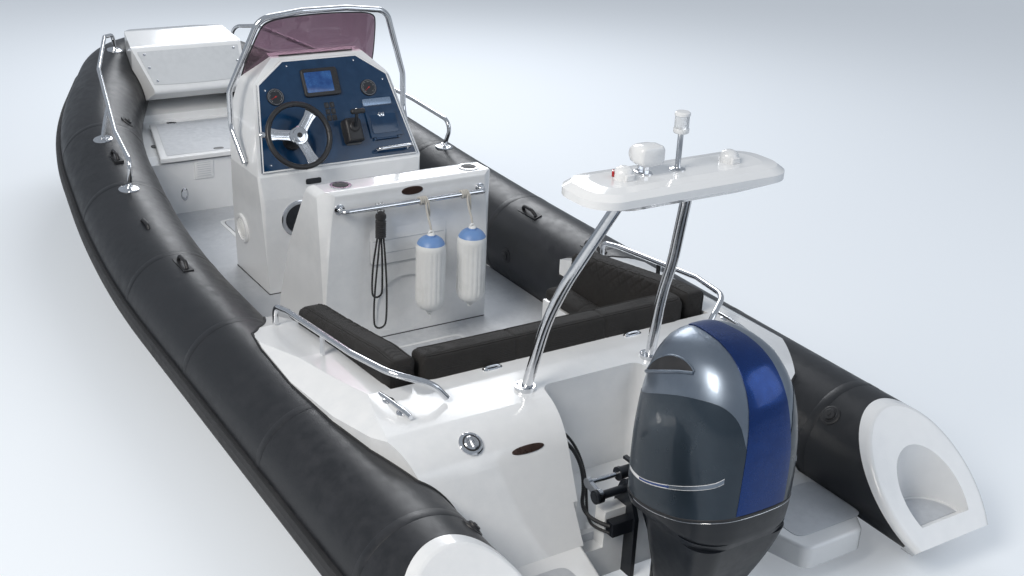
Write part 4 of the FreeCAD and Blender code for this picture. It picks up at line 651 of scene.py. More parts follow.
class Forms:
    """Ways of making a mesh form from bmesh operators. All sizes are in metres."""

    @staticmethod
    def axes(x: Vector, y: Vector, z: Vector, place: tuple) -> Matrix:
        """A frame from its three axes and its origin."""
        lay = Matrix((x, y, z)).transposed().to_4x4()
        lay.translation = place
        return lay

    @staticmethod
    def turn(axis: tuple, place: tuple) -> Matrix:
        """A frame whose Z runs along an axis and whose origin is a place."""
        return shifted(place) @ Vector(axis).to_track_quat("Z", "Y").to_matrix().to_4x4()

    @staticmethod
    def of_mesh(mesh: bpy.types.Mesh) -> Form:
        """A form read from a mesh."""
        form = bmesh.new()
        form.from_mesh(mesh)
        return form

    @staticmethod
    def outward(form: Form) -> None:
        """Turn every face outwards."""
        bmesh.ops.recalc_face_normals(form, faces=form.faces)

    @staticmethod
    def place(form: Form, matrix: Matrix) -> Form:
        """Move a form to its frame."""
        bmesh.ops.transform(form, matrix=matrix, verts=form.verts)
        return form

    @staticmethod
    def soften(form: Form, edges: list, width: float, segments: int = 3) -> None:
        """Round edges off to a width."""
        bmesh.ops.bevel(form, geom=edges, offset=width, offset_type="OFFSET", affect="EDGES",
            segments=segments, profile=0.5, material=-1, clamp_overlap=True)

    @staticmethod
    def revolve(form: Form, geom: list, steps: int) -> None:
        """Spin a section full circle about Z and weld it."""
        bmesh.ops.spin(form, geom=geom, cent=(0, 0, 0), axis=(0, 0, 1), angle=math.tau, steps=steps, use_merge=True)
        bmesh.ops.remove_doubles(form, verts=form.verts, dist=1e-6)

    @staticmethod
    def lathe(profile: list, place: tuple, axis: tuple = (0, 0, 1), steps: int = 48, closed: bool = True) -> Form:
        """Spin a profile of (radius, height) about an axis.

        Args:
            profile: the outline from one end of the axis to the other.
            place: the foot of the axis.
            axis: its direction.
            steps: sides of the turned form.
            closed: True to fill what the profile leaves open.

        Returns:
            The form.
        """
        form = bmesh.new()
        chain = [form.verts.new((radius, 0.0, height)) for radius, height in profile]
        Forms.revolve(form, chain + [form.edges.new(pair) for pair in zip(chain[:-1], chain[1:])], steps)
        if closed:
            bmesh.ops.holes_fill(form, edges=[e for e in form.edges if e.is_boundary], sides=0)
        Forms.outward(form)
        return Forms.place(form, Forms.turn(axis, place))

    @staticmethod
    def disc(place: tuple, axis: tuple, radius: float, depth: float, edge: float = 0.0015, steps: int = 40) -> Form:
        """A round button with softened rims, standing on its place."""
        profile = [(0, 0), (radius, 0), (radius, depth - edge), (radius - edge * 0.3, depth - edge * 0.3),
            (radius - edge, depth), (0, depth)]
        return Forms.lathe(profile, place, axis, steps)

    @staticmethod
    def ring(place: tuple, axis: tuple, radius: float, thick: float, steps: int = 48, sides: int = 12) -> Form:
        """A round ring of round section."""
        form = bmesh.new()
        made = bmesh.ops.create_circle(form, segments=sides, radius=thick,
            matrix=shifted((radius, 0, 0)) @ rotated(math.pi / 2, 4, "X"))["verts"]
        Forms.revolve(form, made + form.edges[:], steps)
        Forms.outward(form)
        return Forms.place(form, Forms.turn(axis, place))

    @staticmethod
    def slab(outline: list, thick: float, matrix: Matrix = Matrix(), edge: float = 0.0, segments: int = 3) -> Form:
        """Extrude a flat outline along its frame's Z and soften its top rim.

        Args:
            outline: corners (x, y) in order.
            thick: how far it rises.
            matrix: the frame it lies in.
            edge: width of the softened rim.
            segments: how finely that is divided.

        Returns:
            The closed form.
        """
        form = bmesh.new()
        face = form.faces.new([form.verts.new((x, y, 0.0)) for x, y in outline])
        made = bmesh.ops.extrude_face_region(form, geom=[face])
        lifted = [v for v in made["geom"] if isinstance(v, bmesh.types.BMVert)]
        bmesh.ops.translate(form, verts=lifted, vec=(0, 0, thick))
        Forms.outward(form)
        if edge:
            Forms.soften(form, [e for e in form.edges if all(v in lifted for v in e.verts)], edge, segments)
        Forms.place(form, matrix)
        Forms.outward(form)
        return form

    @staticmethod
    def box(size: tuple, matrix: Matrix = Matrix(), edge: float = 0.003, segments: int = 3) -> Form:
        """A box centred on its frame, with softened edges."""
        form = bmesh.new()
        bmesh.ops.create_cube(form, size=1.0)
        bmesh.ops.scale(form, vec=size, verts=form.verts)
        Forms.soften(form, form.edges[:], edge, segments)
        return Forms.place(form, matrix)

    @staticmethod
    def square_off(angle: float, power: float) -> tuple:
        """Where an angle falls on a unit oval; a power above 2 squares it off."""
        c, s = math.cos(angle), math.sin(angle)
        return math.copysign(abs(c) ** (2 / power), c), math.copysign(abs(s) ** (2 / power), s)

    @staticmethod
    def oval(wide: float, tall: float, power: float = 2.0, count: int = 40) -> list:
        """Corners of an oval; a higher power squares it off."""
        spots = [Forms.square_off(math.tau * step / count, power) for step in range(count)]
        return [(wide / 2 * x, tall / 2 * y) for x, y in spots]

    @staticmethod
    def grid(columns: int, rows: int, place: Callable[[float, float], Vector]) -> Form:
        """A sheet of cells whose points are placed by their two shares, each 0 to 1."""
        form = bmesh.new()
        bmesh.ops.create_grid(form, x_segments=columns, y_segments=rows, size=0.5)
        for vert in form.verts:
            vert.co = place(vert.co.x + 0.5, vert.co.y + 0.5)
        return form

    @staticmethod
    def traced(points: list, order: str, fine: int, closed: bool, radius: float = 0.0,
            sides: int = 3) -> bpy.types.Mesh:
        """A mesh of a curve through or near points.

        Args:
            points: its control points.
            order: NURBS for a rounded route, POLY for straight runs.
            fine: steps between two points.
            closed: True to join its ends.
            radius: its section's radius, or 0 for a bare line.
            sides: fineness of its section.

        Returns:
            The mesh.
        """
        curve = bpy.data.curves.new("route", "CURVE")
        curve.dimensions = "3D"
        curve.bevel_depth = radius
        curve.bevel_resolution = sides
        curve.use_fill_caps = not closed
        line = curve.splines.new(order)
        line.points.add(len(points) - 1)
        for point, spot in zip(line.points, points):
            point.co = (*spot, 1.0)
        line.order_u = 3
        line.resolution_u = fine
        line.use_endpoint_u = not closed
        line.use_cyclic_u = closed
        route = bpy.data.objects.new("route", curve)
        mesh = bpy.data.meshes.new_from_object(route)
        bpy.data.objects.remove(route)
        bpy.data.curves.remove(curve)
        return mesh

    @staticmethod
    def rod(points: list, radius: float, smooth: bool = True, closed: bool = False, sides: int = 3) -> Form:
        """A round bar along points, by a curve turned into a mesh.

        Args:
            points: what it follows.
            radius: its section's radius.
            smooth: True to round it through its points, False for straight runs.
            closed: True to join its ends.
            sides: fineness of its section.

        Returns:
            The form.
        """
        mesh = Forms.traced(points, "NURBS" if smooth else "POLY", 8, closed, radius, sides)
        form = Forms.of_mesh(mesh)
        bmesh.ops.remove_doubles(form, verts=form.verts, dist=1e-6)
        Forms.outward(form)
        bpy.data.meshes.remove(mesh)
        return form

    @staticmethod
    def join(forms: list) -> Form:
        """Put several forms in one mesh and free them."""
        whole = forms[0]
        for form in forms[1:]:
            mesh = bpy.data.meshes.new("part")
            form.to_mesh(mesh)
            form.free()
            whole.from_mesh(mesh)
            bpy.data.meshes.remove(mesh)
        return whole

    @staticmethod
    def stack(levels: tuple, count: int) -> Form:
        """Bridge level ovals from the foot up.

        Args:
            levels: rows of height, fore x, aft x, half width and squareness.
            count: corners round each level.

        Returns:
            The closed form.
        """
        form = bmesh.new()
        rings = []
        for height, fore, aft, half, power in levels:
            made = bmesh.ops.create_circle(form, segments=count, radius=1.0)["verts"]
            for vert in made:
                x, y = Forms.square_off(math.atan2(vert.co.y, vert.co.x), power)
                vert.co = ((fore + aft) / 2 + (fore - aft) / 2 * x, half * y, height)
            rings.append([e for e in form.edges if all(v in made for v in e.verts)])
        for low, high in zip(rings[:-1], rings[1:]):
            bmesh.ops.bridge_loops(form, edges=low + high)
        for ring in (rings[0], rings[-1]):
            bmesh.ops.contextual_create(form, geom=ring)
        Forms.outward(form)
        return form

    @staticmethod
    def line(points: tuple) -> Callable[[float], float]:
        """A smooth line of heights through (share, height) points."""
        def height(share: float) -> float:
            """The height at a share."""
            for index in range(len(points) - 1):
                (one, low), (two, high) = points[index], points[index + 1]
                if share <= two:
                    before, after = points[max(index - 1, 0)], points[min(index + 2, len(points) - 1)]
                    way = min(max((share - one) / (two - one), 0.0), 1.0)
                    first = (high - before[1]) / (two - before[0]) * (two - one)
                    last = (after[1] - low) / (after[0] - one) * (two - one)
                    return (low * (2 * way ** 3 - 3 * way ** 2 + 1) + first * (way ** 3 - 2 * way ** 2 + way) + high
                        * (3 * way ** 2 - 2 * way ** 3) + last * (way ** 3 - way ** 2))
            return points[-1][1]
        return height


class Seat:
    """The surface of a frame node, to set pieces on."""

    def __init__(self, node: str) -> None:
        """Read the node's mesh."""
        form = Forms.of_mesh(NODES[node].data)
        self.tree = BVHTree.FromBMesh(form)
        form.free()

    def hit(self, start: tuple, way: tuple) -> tuple:
        """Where a ray meets the node, and the outward normal there."""
        place, normal, _, _ = self.tree.ray_cast(Vector(start), Vector(way).normalized())
        if place is None:
            raise ValueError(f"no surface below {start}")
        return place, (normal if normal.dot(Vector(way)) < 0 else -normal)




class Route:
    """A cord's own line and the tubes that follow it."""

    def __init__(self, points: list, fine: int = 24) -> None:
        """Lay the line as one open NURBS spline through its control points."""
        mesh = Forms.traced(points, "NURBS", fine, False)
        self.line = [tuple(vert.co) for vert in mesh.vertices]
        self.first = points[0]
        bpy.data.meshes.remove(mesh)

    @property
    def length(self) -> float:
        """Length of the line."""
        return sum((Vector(b) - Vector(a)).length for a, b in zip(self.line[:-1], self.line[1:]))

    def tube(self, radius: Callable[[float, float], float], sides: int = 14) -> Form:
        """Sweep a section along the line.

        Args:
            radius: the section's radius at an angle round it and a length along it.
            sides: corners of the section.

        Returns:
            The closed form.
        """
        form = bmesh.new()
        spots = [Vector(spot) for spot in self.line]
        normal, along, before = None, 0.0, None
        for step, spot in enumerate(spots):
            ahead = (spots[min(step + 1, len(spots) - 1)] - spots[max(step - 1, 0)]).normalized()
            normal = ahead.orthogonal() if normal is None else normal
            normal = (normal - ahead * normal.dot(ahead)).normalized()
            along += (spot - spots[step - 1]).length if step else 0.0
            lay = Forms.axes(normal, ahead.cross(normal), ahead, spot)
            ring = bmesh.ops.create_circle(form, segments=sides, radius=1.0)["verts"]
            for vert in ring:
                vert.co *= radius(math.atan2(vert.co.y, vert.co.x), along)
            edges = list({edge for vert in ring for edge in vert.link_edges})
            bmesh.ops.transform(form, matrix=lay, verts=ring)
            if before:
                bmesh.ops.bridge_loops(form, edges=before + edges)
            else:
                bmesh.ops.contextual_create(form, geom=edges)
            before = edges
        bmesh.ops.contextual_create(form, geom=before)
        Forms.outward(form)
        return form


@dataclass
class Assembly:
    """A group of pieces from one workshop.

    Attributes:
        shop: where its pieces are finished.
        body: the body that they ride on.
    """

    shop: Workshop
    body: str = "boat"

    def piece(self, name: str, form: Form | list, slot: str, **more: object) -> bpy.types.Object:
        """Finish a piece, on this group's body unless another is named."""
        return self.shop.piece(name, form, slot, **{"body": self.body, **more})


@dataclass
class Cords(Assembly):
    """The rope hank's two loops and the motor's two hoses, each one free cord.

    Attributes:
        lay: length of one turn of a rope's strands.
        rib: distance between a hose's ribs.
    """

    lay: float = 0.03
    rib: float = 0.0075
    long_loop: tuple = ((1.662, 0.176, 0.7197), (1.66, 0.168, 0.62), (1.659, 0.162, 0.52), (1.66, 0.159, 0.42),
        (1.661, 0.159, 0.345), (1.662, 0.162, 0.29), (1.663, 0.1677, 0.2724), (1.664, 0.1827, 0.2615),
        (1.665, 0.2013, 0.2615), (1.666, 0.2163, 0.2724), (1.667, 0.222, 0.29), (1.667, 0.224, 0.35),
        (1.666, 0.22, 0.44), (1.664, 0.212, 0.54), (1.661, 0.203, 0.64), (1.66, 0.197, 0.7197))
    short_loop: tuple = ((1.68, 0.18, 0.7197), (1.682, 0.174, 0.64), (1.684, 0.171, 0.56),
        (1.684, 0.171, 0.49), (1.684, 0.172, 0.44), (1.684, 0.177, 0.4247), (1.684, 0.19, 0.4153),
        (1.684, 0.206, 0.4153), (1.684, 0.219, 0.4247), (1.684, 0.224, 0.44), (1.684, 0.225, 0.5),
        (1.683, 0.219, 0.59), (1.681, 0.208, 0.66), (1.68, 0.199, 0.7197))
    large_hose: tuple = ((0.15, 0.241, 0.468), (0.105, 0.19, 0.44), (0.05, 0.16, 0.37),
        (-0.005, 0.175, 0.295), (-0.06, 0.225, 0.252), (-0.14, 0.228, 0.237), (-0.198, 0.1903, 0.236))
    small_hose: tuple = ((0.195, 0.234, 0.492), (0.15, 0.18, 0.462), (0.095, 0.14, 0.39), (0.035, 0.14, 0.305),
        (-0.025, 0.175, 0.24), (-0.08, 0.208, 0.213), (-0.142, 0.222, 0.207), (-0.198, 0.1903, 0.207))

    def lay_cord(self, name: str, points: tuple, diameter: float, hose: bool) -> None:
        """A laid rope of three strands, or a corrugated hose.

        Args:
            name: the frame node that it stands for.
            points: its control points.
            diameter: its thickness.
            hose: True for a hose.
        """
        route = Route(points, 60 if hose else 24)

        def strands(angle: float, along: float) -> float:
            """A rope's radius."""
            turned = angle - math.tau * along / self.lay
            return diameter / 2 * (0.8 + 0.2 * abs(math.cos(1.5 * turned)))

        def ribs(angle: float, along: float) -> float:
            """A hose's radius."""
            return diameter / 2 * (0.93 + 0.07 * math.cos(math.tau * along / self.rib))

        word, section, sides, slot, smooth, stiffness = (("_conduit", ribs, 16, "black_plastic", 50.0,
            "medium") if hose else ("_rope", strands, 18, "black_rope", 60.0, "limp"))
        piece = self.piece(name + word, route.tube(section, sides), slot, smooth=smooth, replaces=(name,))
        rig.cord(piece, exit=route.first, length=route.length, diameter=diameter, far_end="object",
            stiffness=stiffness, lay="hanging", path=route.line)

    def build(self) -> None:
        """Make all four cords."""
        self.lay_cord("rope_loop_long", self.long_loop, 0.01, False)
        self.lay_cord("rope_loop_short", self.short_loop, 0.01, False)
        self.lay_cord("hose_large", self.large_hose, 0.016, True)
        self.lay_cord("hose_small", self.small_hose, 0.012, True)


@dataclass
class Cushions(Assembly):
    """The U-shaped seat and its three backrests: foam puffed under cloth, then sewn.

    Attributes:
        slack: how much smaller each pad starts than the space it fills.
        voxel: size of the cells of its even mesh.
        cap: the furthest that a point may swell.
        pressure: pressure inside the cloth.
        frames: steps of its simulation.
        welt: radius of the welt cord.
        pleat: distance between the lines of its quilting.
        seam_depth: depth of a stitched line.
        seam_width: its half width.
    """

    slack: float = 0.006
    voxel: float = 0.013
    cap: float = 0.016
    pressure: float = 4.0
    frames: int = 20
    welt: float = 0.0038
    pleat: float = 0.062
    seam_depth: float = 0.0042
    seam_width: float = 0.006

    def foam(self, node: str) -> Form:
        """A smaller, softened copy of the pad's space."""
        form = Forms.of_mesh(NODES[node].data)
        bmesh.ops.remove_doubles(form, verts=form.verts, dist=1e-5)
        bmesh.ops.dissolve_limit(form, angle_limit=math.radians(2), verts=form.verts, edges=form.edges)
        Forms.soften(form, form.edges[:], 0.016)
        low, high = box_of(node)
        middle = (low + high) / 2
        size = high - low
        for vert in form.verts:
            for axis in range(3):
                vert.co[axis] = middle[axis] + (vert.co[axis] - middle[axis]) * (1 - 2 * self.slack / size[axis])
        return form

    def even(self, name: str, form: Form) -> bpy.types.Object:
        """Remesh a form to even cells, as a new object."""
        mesh = bpy.data.meshes.new(name)
        form.to_mesh(mesh)
        form.free()
        thing = Studio.stand(name, mesh)
        cells = thing.modifiers.new("even cells", "REMESH")
        cells.mode = "VOXEL"
        cells.voxel_size = self.voxel
        self.settle(thing)
        return thing

    @staticmethod
    def settle(thing: bpy.types.Object) -> None:
        """Turn an object's modifiers into its mesh."""
        graph = bpy.context.evaluated_depsgraph_get()
        fresh = bpy.data.meshes.new_from_object(thing.evaluated_get(graph))
        thing.modifiers.clear()
        old = thing.data
        thing.data = fresh
        bpy.data.meshes.remove(old)

    def puff(self, thing: bpy.types.Object, held: Callable[[Vector], bool]) -> None:
        """Swell an object under cloth, with some points held.

        Args:
            thing: the pad.
            held: tells whether a point stays where it is.
        """
        pins = thing.vertex_groups.new(name="sewn")
        pins.add([v.index for v in thing.data.vertices if held(v.co)], 1.0, "REPLACE")
        start = [v.co.copy() for v in thing.data.vertices]
        cloth = thing.modifiers.new("cloth", "CLOTH")
        cloth.settings.effector_weights.gravity = 0.0
        for name, value in (("use_pressure", True), ("uniform_pressure_force", self.pressure),
                ("vertex_group_mass", "sewn"), ("quality", 5), ("tension_stiffness", 12.0),
                ("compression_stiffness", 12.0), ("bending_stiffness", 0.6)):
            setattr(cloth.settings, name, value)
        cloth.collision_settings.use_collision = False
        cloth.point_cache.frame_start = 1
        cloth.point_cache.frame_end = self.frames
        for step in range(1, self.frames + 1):
            bpy.context.scene.frame_set(step)
        self.settle(thing)
        bpy.context.scene.frame_set(1)
        for vert, origin in zip(thing.data.vertices, start):
            moved = vert.co - origin
            if moved.length > self.cap:
                vert.co = origin + moved * (self.cap / moved.length)

    def sew(self, thing: bpy.types.Object, seam: Callable[[Vector], float]) -> None:
        """Draw stitched lines into a pad's surface.

        Args:
            thing: the pad.
            seam: gives a point's distance from the nearest seam.
        """
        finer = thing.modifiers.new("smooth", "SUBSURF")
        finer.levels = finer.render_levels = 1
        self.settle(thing)
        for vert in thing.data.vertices:
            near = abs(seam(vert.co))
            if near < 3 * self.seam_width:
                vert.co -= vert.normal * self.seam_depth * math.exp(-(near / self.seam_width) ** 2)

    def pad(self, node: str, held: Callable[[Vector], bool], seam: Callable[[Vector], float], fill: float) -> None:
        """Make one pad in place of its node.

        Args:
            node: the frame node it replaces.
            held: tells which points don't swell.
            seam: gives a point's distance from its stitched lines.
            fill: how tight it is.
        """
        thing = self.even(node + "_pad", self.foam(node))
        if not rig.quick():
            self.puff(thing, held)
        self.sew(thing, seam)
        low, high = box_of(node)
        for vert in thing.data.vertices:
            vert.co = Vector(min(max(vert.co[a], low[a] - 0.004 * (a < 2)),
                high[a] + (0.004 if a < 2 else 0.008)) for a in range(3))
        thing.data.shade_smooth()
        thing.data.materials.clear()
        thing.data.materials.append(self.shop.materials["cushion_cloth"])
        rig.ride(thing, "boat")
        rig.slot(thing, "cushion_cloth")
        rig.replaces(thing, node)
        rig.padded(thing, fill=fill)
        LOG.info("%s: %d faces", thing.name, len(thing.data.polygons))
        if node.startswith("backrest"):
            self.welts(thing, low, high)

    def welts(self, thing: bpy.types.Object, low: Vector, high: Vector) -> None:
        """Lay a welt cord along both long rims of a backrest's top.

        Args:
            thing: the finished pad.
            low: the lower corner of its space.
            high: the upper corner.
        """
        form = Forms.of_mesh(thing.data)
        tree = BVHTree.FromBMesh(form)
        form.free()
        long = 0 if high.x - low.x > high.y - low.y else 1
        rods = []
        for rim in (low[1 - long] + 0.024, high[1 - long] - 0.024):
            line = []
            for step in range(61):
                spot = Vector((rim, rim, high.z + 0.1))
                spot[long] = low[long] + (high[long] - low[long]) * (0.03 + 0.94 * step / 60)
                place = tree.ray_cast(spot, DOWN)[0]
                if place and place.z > low.z + 0.6 * (high.z - low.z):
                    line.append(place + DOWN * 0.0005)
            rods.append(Forms.rod(line, self.welt, smooth=False))
        self.piece(thing.name + "_welts", rods, "cushion_cloth", smooth=60.0)

    def build(self) -> None:
        """Make the four pads and their welts."""
        def quilted(along: float, height: float) -> float:
            """Distance from a fine diamond quilting."""
            return min(abs((along + way * height) % self.pleat - self.pleat / 2) for way in (1, -1))

        def low_down(point: Vector) -> bool:
            """Whether a point rests on what carries the pad."""
            return point.z < 0.43

        for side, word in SIDES:
            def side_seam(point: Vector, side: int = side) -> float:
                """The fold below the rounded top, and the quilting of the inner face."""
                across = side * point.y
                fold = abs(across - 0.7397) if point.z > 0.58 else 1.0
                return min(fold, quilted(point.x, point.z) if across < 0.6867 and point.z < 0.7 else 1.0)

            self.pad(f"backrest_{word}", low_down, side_seam, 0.75)

        def rear_seam(point: Vector) -> float:
            """The top's welt line, two upright joints and the quilting of the front face."""
            top = abs(point.x - 0.462) if point.z > 0.7 else 1.0
            joints = abs(abs(point.y) - 0.214)
            return min(top, joints, quilted(point.y, point.z) if point.x > 0.52 and point.z < 0.7 else 1.0)

        self.pad("backrest_rear", low_down, rear_seam, 0.75)

        def seat_seam(point: Vector) -> float:
            """Joints between the seat's cushions and its sewn channels."""
            joints = min(abs(point.y), abs(abs(point.y) - 0.51)) if point.x < 0.965 else 1.0
            channel = abs((point.x - 0.62) % 0.17 - 0.085) if point.z > 0.455 and abs(point.y) < 0.6 else 1.0
            return min(joints, channel)

        self.pad("seat_cushion", lambda p: low_down(p) or abs(abs(p.y) - 0.51) < 0.008 or abs(p.y) < 0.008,
            seat_seam, 0.8)


@dataclass
class Seals(Assembly):
    """Black sealing beads along the lines where rigid mouldings meet the tubes and the sole."""

    def __post_init__(self) -> None:
        """Start without carriers."""
        self.trees = []

    def near(self, point: Vector) -> bool:
        """Whether a point lies on one of the carriers."""
        return any(tree.find_nearest(point, 0.0025)[0] is not None for tree in self.trees)

    def chains(self, node: str) -> list:
        """Lines of points where a node's own faces meet its faces that lie on a carrier."""
        form = Forms.of_mesh(NODES[node].data)
        bmesh.ops.remove_doubles(form, verts=form.verts, dist=1e-5)
        touching = {vert for vert in form.verts if self.near(vert.co)}
        seated = {face for face in form.faces if all(v in touching for v in face.verts)
            and self.near(face.calc_center_median())}
        picked = {edge for edge in form.edges if len(edge.link_faces) == 2 and sum(face in seated
            for face in edge.link_faces) == 1}

        def free(vert: bmesh.types.BMVert) -> list:
            """A point's edges that no line holds yet."""
            return sorted((edge for edge in vert.link_edges if edge in picked), key=lambda e: e.index)

        lines = []
        ends = sorted({v for e in picked for v in e.verts if len(free(v)) == 1}, key=lambda v: v.index)
        while picked:
            while ends and len(free(ends[0])) != 1:
                ends.pop(0)
            vert = ends.pop(0) if ends else min(picked, key=lambda e: e.index).verts[0]
            line = [vert.co.copy()]
            while free(vert):
                edge = free(vert)[0]
                picked.discard(edge)
                vert = edge.other_vert(vert)
                line.append(vert.co.copy())
            lines.append(line)
        form.free()
        return [line for line in lines if sum((b - a).length for a, b in zip(line[:-1], line[1:])) > 0.05]

    def build(self) -> None:
        """Lay a bead round the foot of each moulding, on the tubes and then on the sole."""
        for carriers, rows in ((("tube_port", "tube_starboard"), (("aft_moulding", 0.006), ("bow_step", 0.005),
                ("bow_platform", 0.005), ("cockpit_sole", 0.005))), (("cockpit_sole",),
                (("console", 0.004), ("helm_pod", 0.004)))):
            self.trees = [Seat(node).tree for node in carriers]
            for node, radius in rows:
                lines = self.chains(node)
                if lines:
                    forms = [Forms.rod(line, radius, smooth=False, sides=2) for line in lines]
                    self.piece(node + "_seal", forms, "strake_rubber")




@dataclass
class Outboard(Assembly):
    """The motor: a lacquered cowl with its panels, intakes, stripe and seam, and the propeller's nut.

    Attributes:
        centre: the cowl's upright axis, as x.
        levels: height, fore x, aft x, half width and squareness of the cowl's sections.
    """

    body: str = "engine_steer"
    centre: float = -0.47
    levels: tuple = ((0.4405, -0.226, -0.718, 0.22, 3.3), (0.452, -0.222, -0.723, 0.224, 3.3),
        (0.57, -0.215, -0.739, 0.231, 3.1), (0.68, -0.215, -0.742, 0.23, 3.0),
        (0.76, -0.217, -0.743, 0.226, 2.9), (0.85, -0.222, -0.733, 0.217, 2.8),
        (0.93, -0.235, -0.713, 0.202, 2.7), (0.985, -0.252, -0.686, 0.185, 2.6),
        (1.035, -0.282, -0.64, 0.158, 2.5), (1.066, -0.32, -0.588, 0.122, 2.4),
        (1.083, -0.365, -0.53, 0.078, 2.3), (1.0875, -0.41, -0.48, 0.03, 2.2))

    def __post_init__(self) -> None:
        """Leave the surface to be read once the cowl is made."""
        self.tree = None

    def cowl(self) -> None:
        """The lacquered hood, smooth between its sections."""
        form = Forms.stack(self.levels, 56)
        for _ in range(2):
            bmesh.ops.smooth_vert(form, verts=[v for v in form.verts if 0.46 < v.co.z < 1.08], factor=0.25,
                use_axis_x=True, use_axis_y=True, use_axis_z=False)
        rim = [e for e in form.edges if all(abs(v.co.z - self.levels[0][0]) < 1e-4 for v in e.verts)]
        bmesh.ops.subdivide_edges(form, edges=[e for e in form.edges if e not in rim], cuts=1,
            smooth=0.35, use_grid_fill=True)
        self.tree = BVHTree.FromBMesh(form)
        self.piece("cowl_hood", form, "cowl_silver", smooth=50.0, replaces=("motor_cowl",))

    def spot(self, angle: float, height: float, proud: float) -> Vector:
        """A point on the cowl.

        Args:
            angle: round the upright axis from the bow, towards port, in degrees.
            height: its height.
            proud: how far it stands off the surface.

        Returns:
            The point.
        """
        turn = math.radians(angle)
        way = Vector((math.cos(turn), math.sin(turn), 0.0))
        level = min(height, 1.0)
        start = Vector((self.centre, 0.0, level)) + way * 0.8 + Vector((0, 0, (height - level)))
        place, normal, _, _ = self.tree.ray_cast(start, -way)
        if place is None:
            place, normal, _, _ = self.tree.find_nearest(Vector((self.centre, 0.0, height)) + way * 0.05)
        return place + (normal if normal.dot(way) > 0 else -normal) * proud

    def panel(self, angles: tuple, low: Callable[[float], float], high: Callable[[float], float],
            proud: float, columns: int = 36, rows: int = 14) -> Form:
        """A thin shell that lies on the cowl between two lines.

        Args:
            angles: where it starts and ends round the cowl, in degrees.
            low: height of its lower line at a share of that way.
            high: height of its upper line there.
            proud: how far it stands off the cowl.
            columns: how many cells along it.
            rows: how many across it.

        Returns:
            The form, with its rim turned in to the cowl.
        """
        def place(along: float, up: float) -> Vector:
            """A point of the shell at its two shares."""
            angle = angles[0] + (angles[1] - angles[0]) * along
            return self.spot(angle, low(along) + (high(along) - low(along)) * up, proud)

        return self.turn_in(Forms.grid(columns, rows, place))

    def over(self, share: float, across: float, proud: float) -> Vector:
        """A point on the strip that runs up the back and over the crown.

        Args:
            share: from the seam at the back, 0, over the top to the front, 1.
            across: its distance to port.
            proud: how far it stands off the surface.

        Returns:
            The point.
        """
        waist = 0.3
        if share < waist:
            start = Vector((-1.3, across, 0.552 + (0.75 - 0.552) * share / waist))
            way = Vector((1, 0, 0))
        else:
            turn = math.radians(118) * (share - waist) / (1 - waist)
            way = Vector((math.cos(turn), 0, -math.sin(turn)))
            start = Vector((self.centre, across, 0.75)) - way * 0.8
        place, normal, _, _ = self.tree.ray_cast(start, way)
        return place + (normal if normal.dot(way) < 0 else -normal) * proud

    def strip(self, shares: tuple, half: Callable[[float], float], proud: float, columns: int = 60,
            rows: int = 14) -> Form:
        """A thin shell along the back and crown.

        Args:
            shares: where it starts and ends.
            half: its half width at a share of its length.
            proud: how far it stands off the cowl.
            columns: cells along it.
            rows: cells across it.

        Returns:
            The form, with its rim turned in.
        """
        def place(along: float, up: float) -> Vector:
            """A point of the shell at its two shares."""
            return self.over(shares[0] + (shares[1] - shares[0]) * along, (up - 0.5) * 2 * half(along), proud)

        return self.turn_in(Forms.grid(columns, rows, place))

    def turn_in(self, form: Form) -> Form:
        """Close a shell's rim down to the cowl."""
        made = bmesh.ops.extrude_edge_only(form, edges=[e for e in form.edges if e.is_boundary])
        for vert in [v for v in made["geom"] if isinstance(v, bmesh.types.BMVert)]:
            place, normal, _, _ = self.tree.find_nearest(vert.co)
            vert.co = place - normal * 0.0008
        Forms.outward(form)
        return form

    def seam_height(self, angle: float) -> float:
        """Height of the seam between hood and skirt, which rises towards the back."""
        return Forms.line(((0, 0.446), (60, 0.456), (90, 0.474), (114, 0.502), (141, 0.543), (160, 0.552),
            (180, 0.552)))(abs((angle + 180) % 360 - 180))

    def panels(self) -> None:
        """The dark skirt, the side panels below the shape line, and the navy band over the back."""
        low = Forms.line(((0, 0.4412), (1, 0.4412)))
        skirt = self.panel((0, 360), low, lambda share: self.seam_height(360 * share) - 0.002, 0.0024, 96, 8)
        bmesh.ops.remove_doubles(skirt, verts=skirt.verts, dist=1e-5)
        self.piece("cowl_skirt", skirt, "motor_black", smooth=50.0)
        first, last = 12.0, 160.0
        spots = ((12, 0.79), (26, 0.81), (48, 0.838), (74, 0.886), (100, 0.922), (120, 0.94), (136, 0.943),
            (147, 0.925), (155, 0.88), (160, 0.8))
        shape = Forms.line(tuple(((angle - first) / (last - first), height) for angle, height in spots))
        for side, word in SIDES:
            foot = lambda share: self.seam_height(first + (last - first) * share) + 0.003
            sheet = self.panel((side * first, side * last), foot, shape, 0.002, 64, 22)
            self.piece(f"cowl_side_{word}", sheet, "cowl_blue", smooth=50.0)
        half = Forms.line(((0, 0.104), (0.28, 0.1), (0.45, 0.088), (0.62, 0.074), (0.8, 0.058), (1, 0.04)))
        band = self.strip((0.012, 0.97), half, 0.0034, 72, 18)
        self.piece("cowl_back_band", band, "cowl_navy", smooth=50.0)

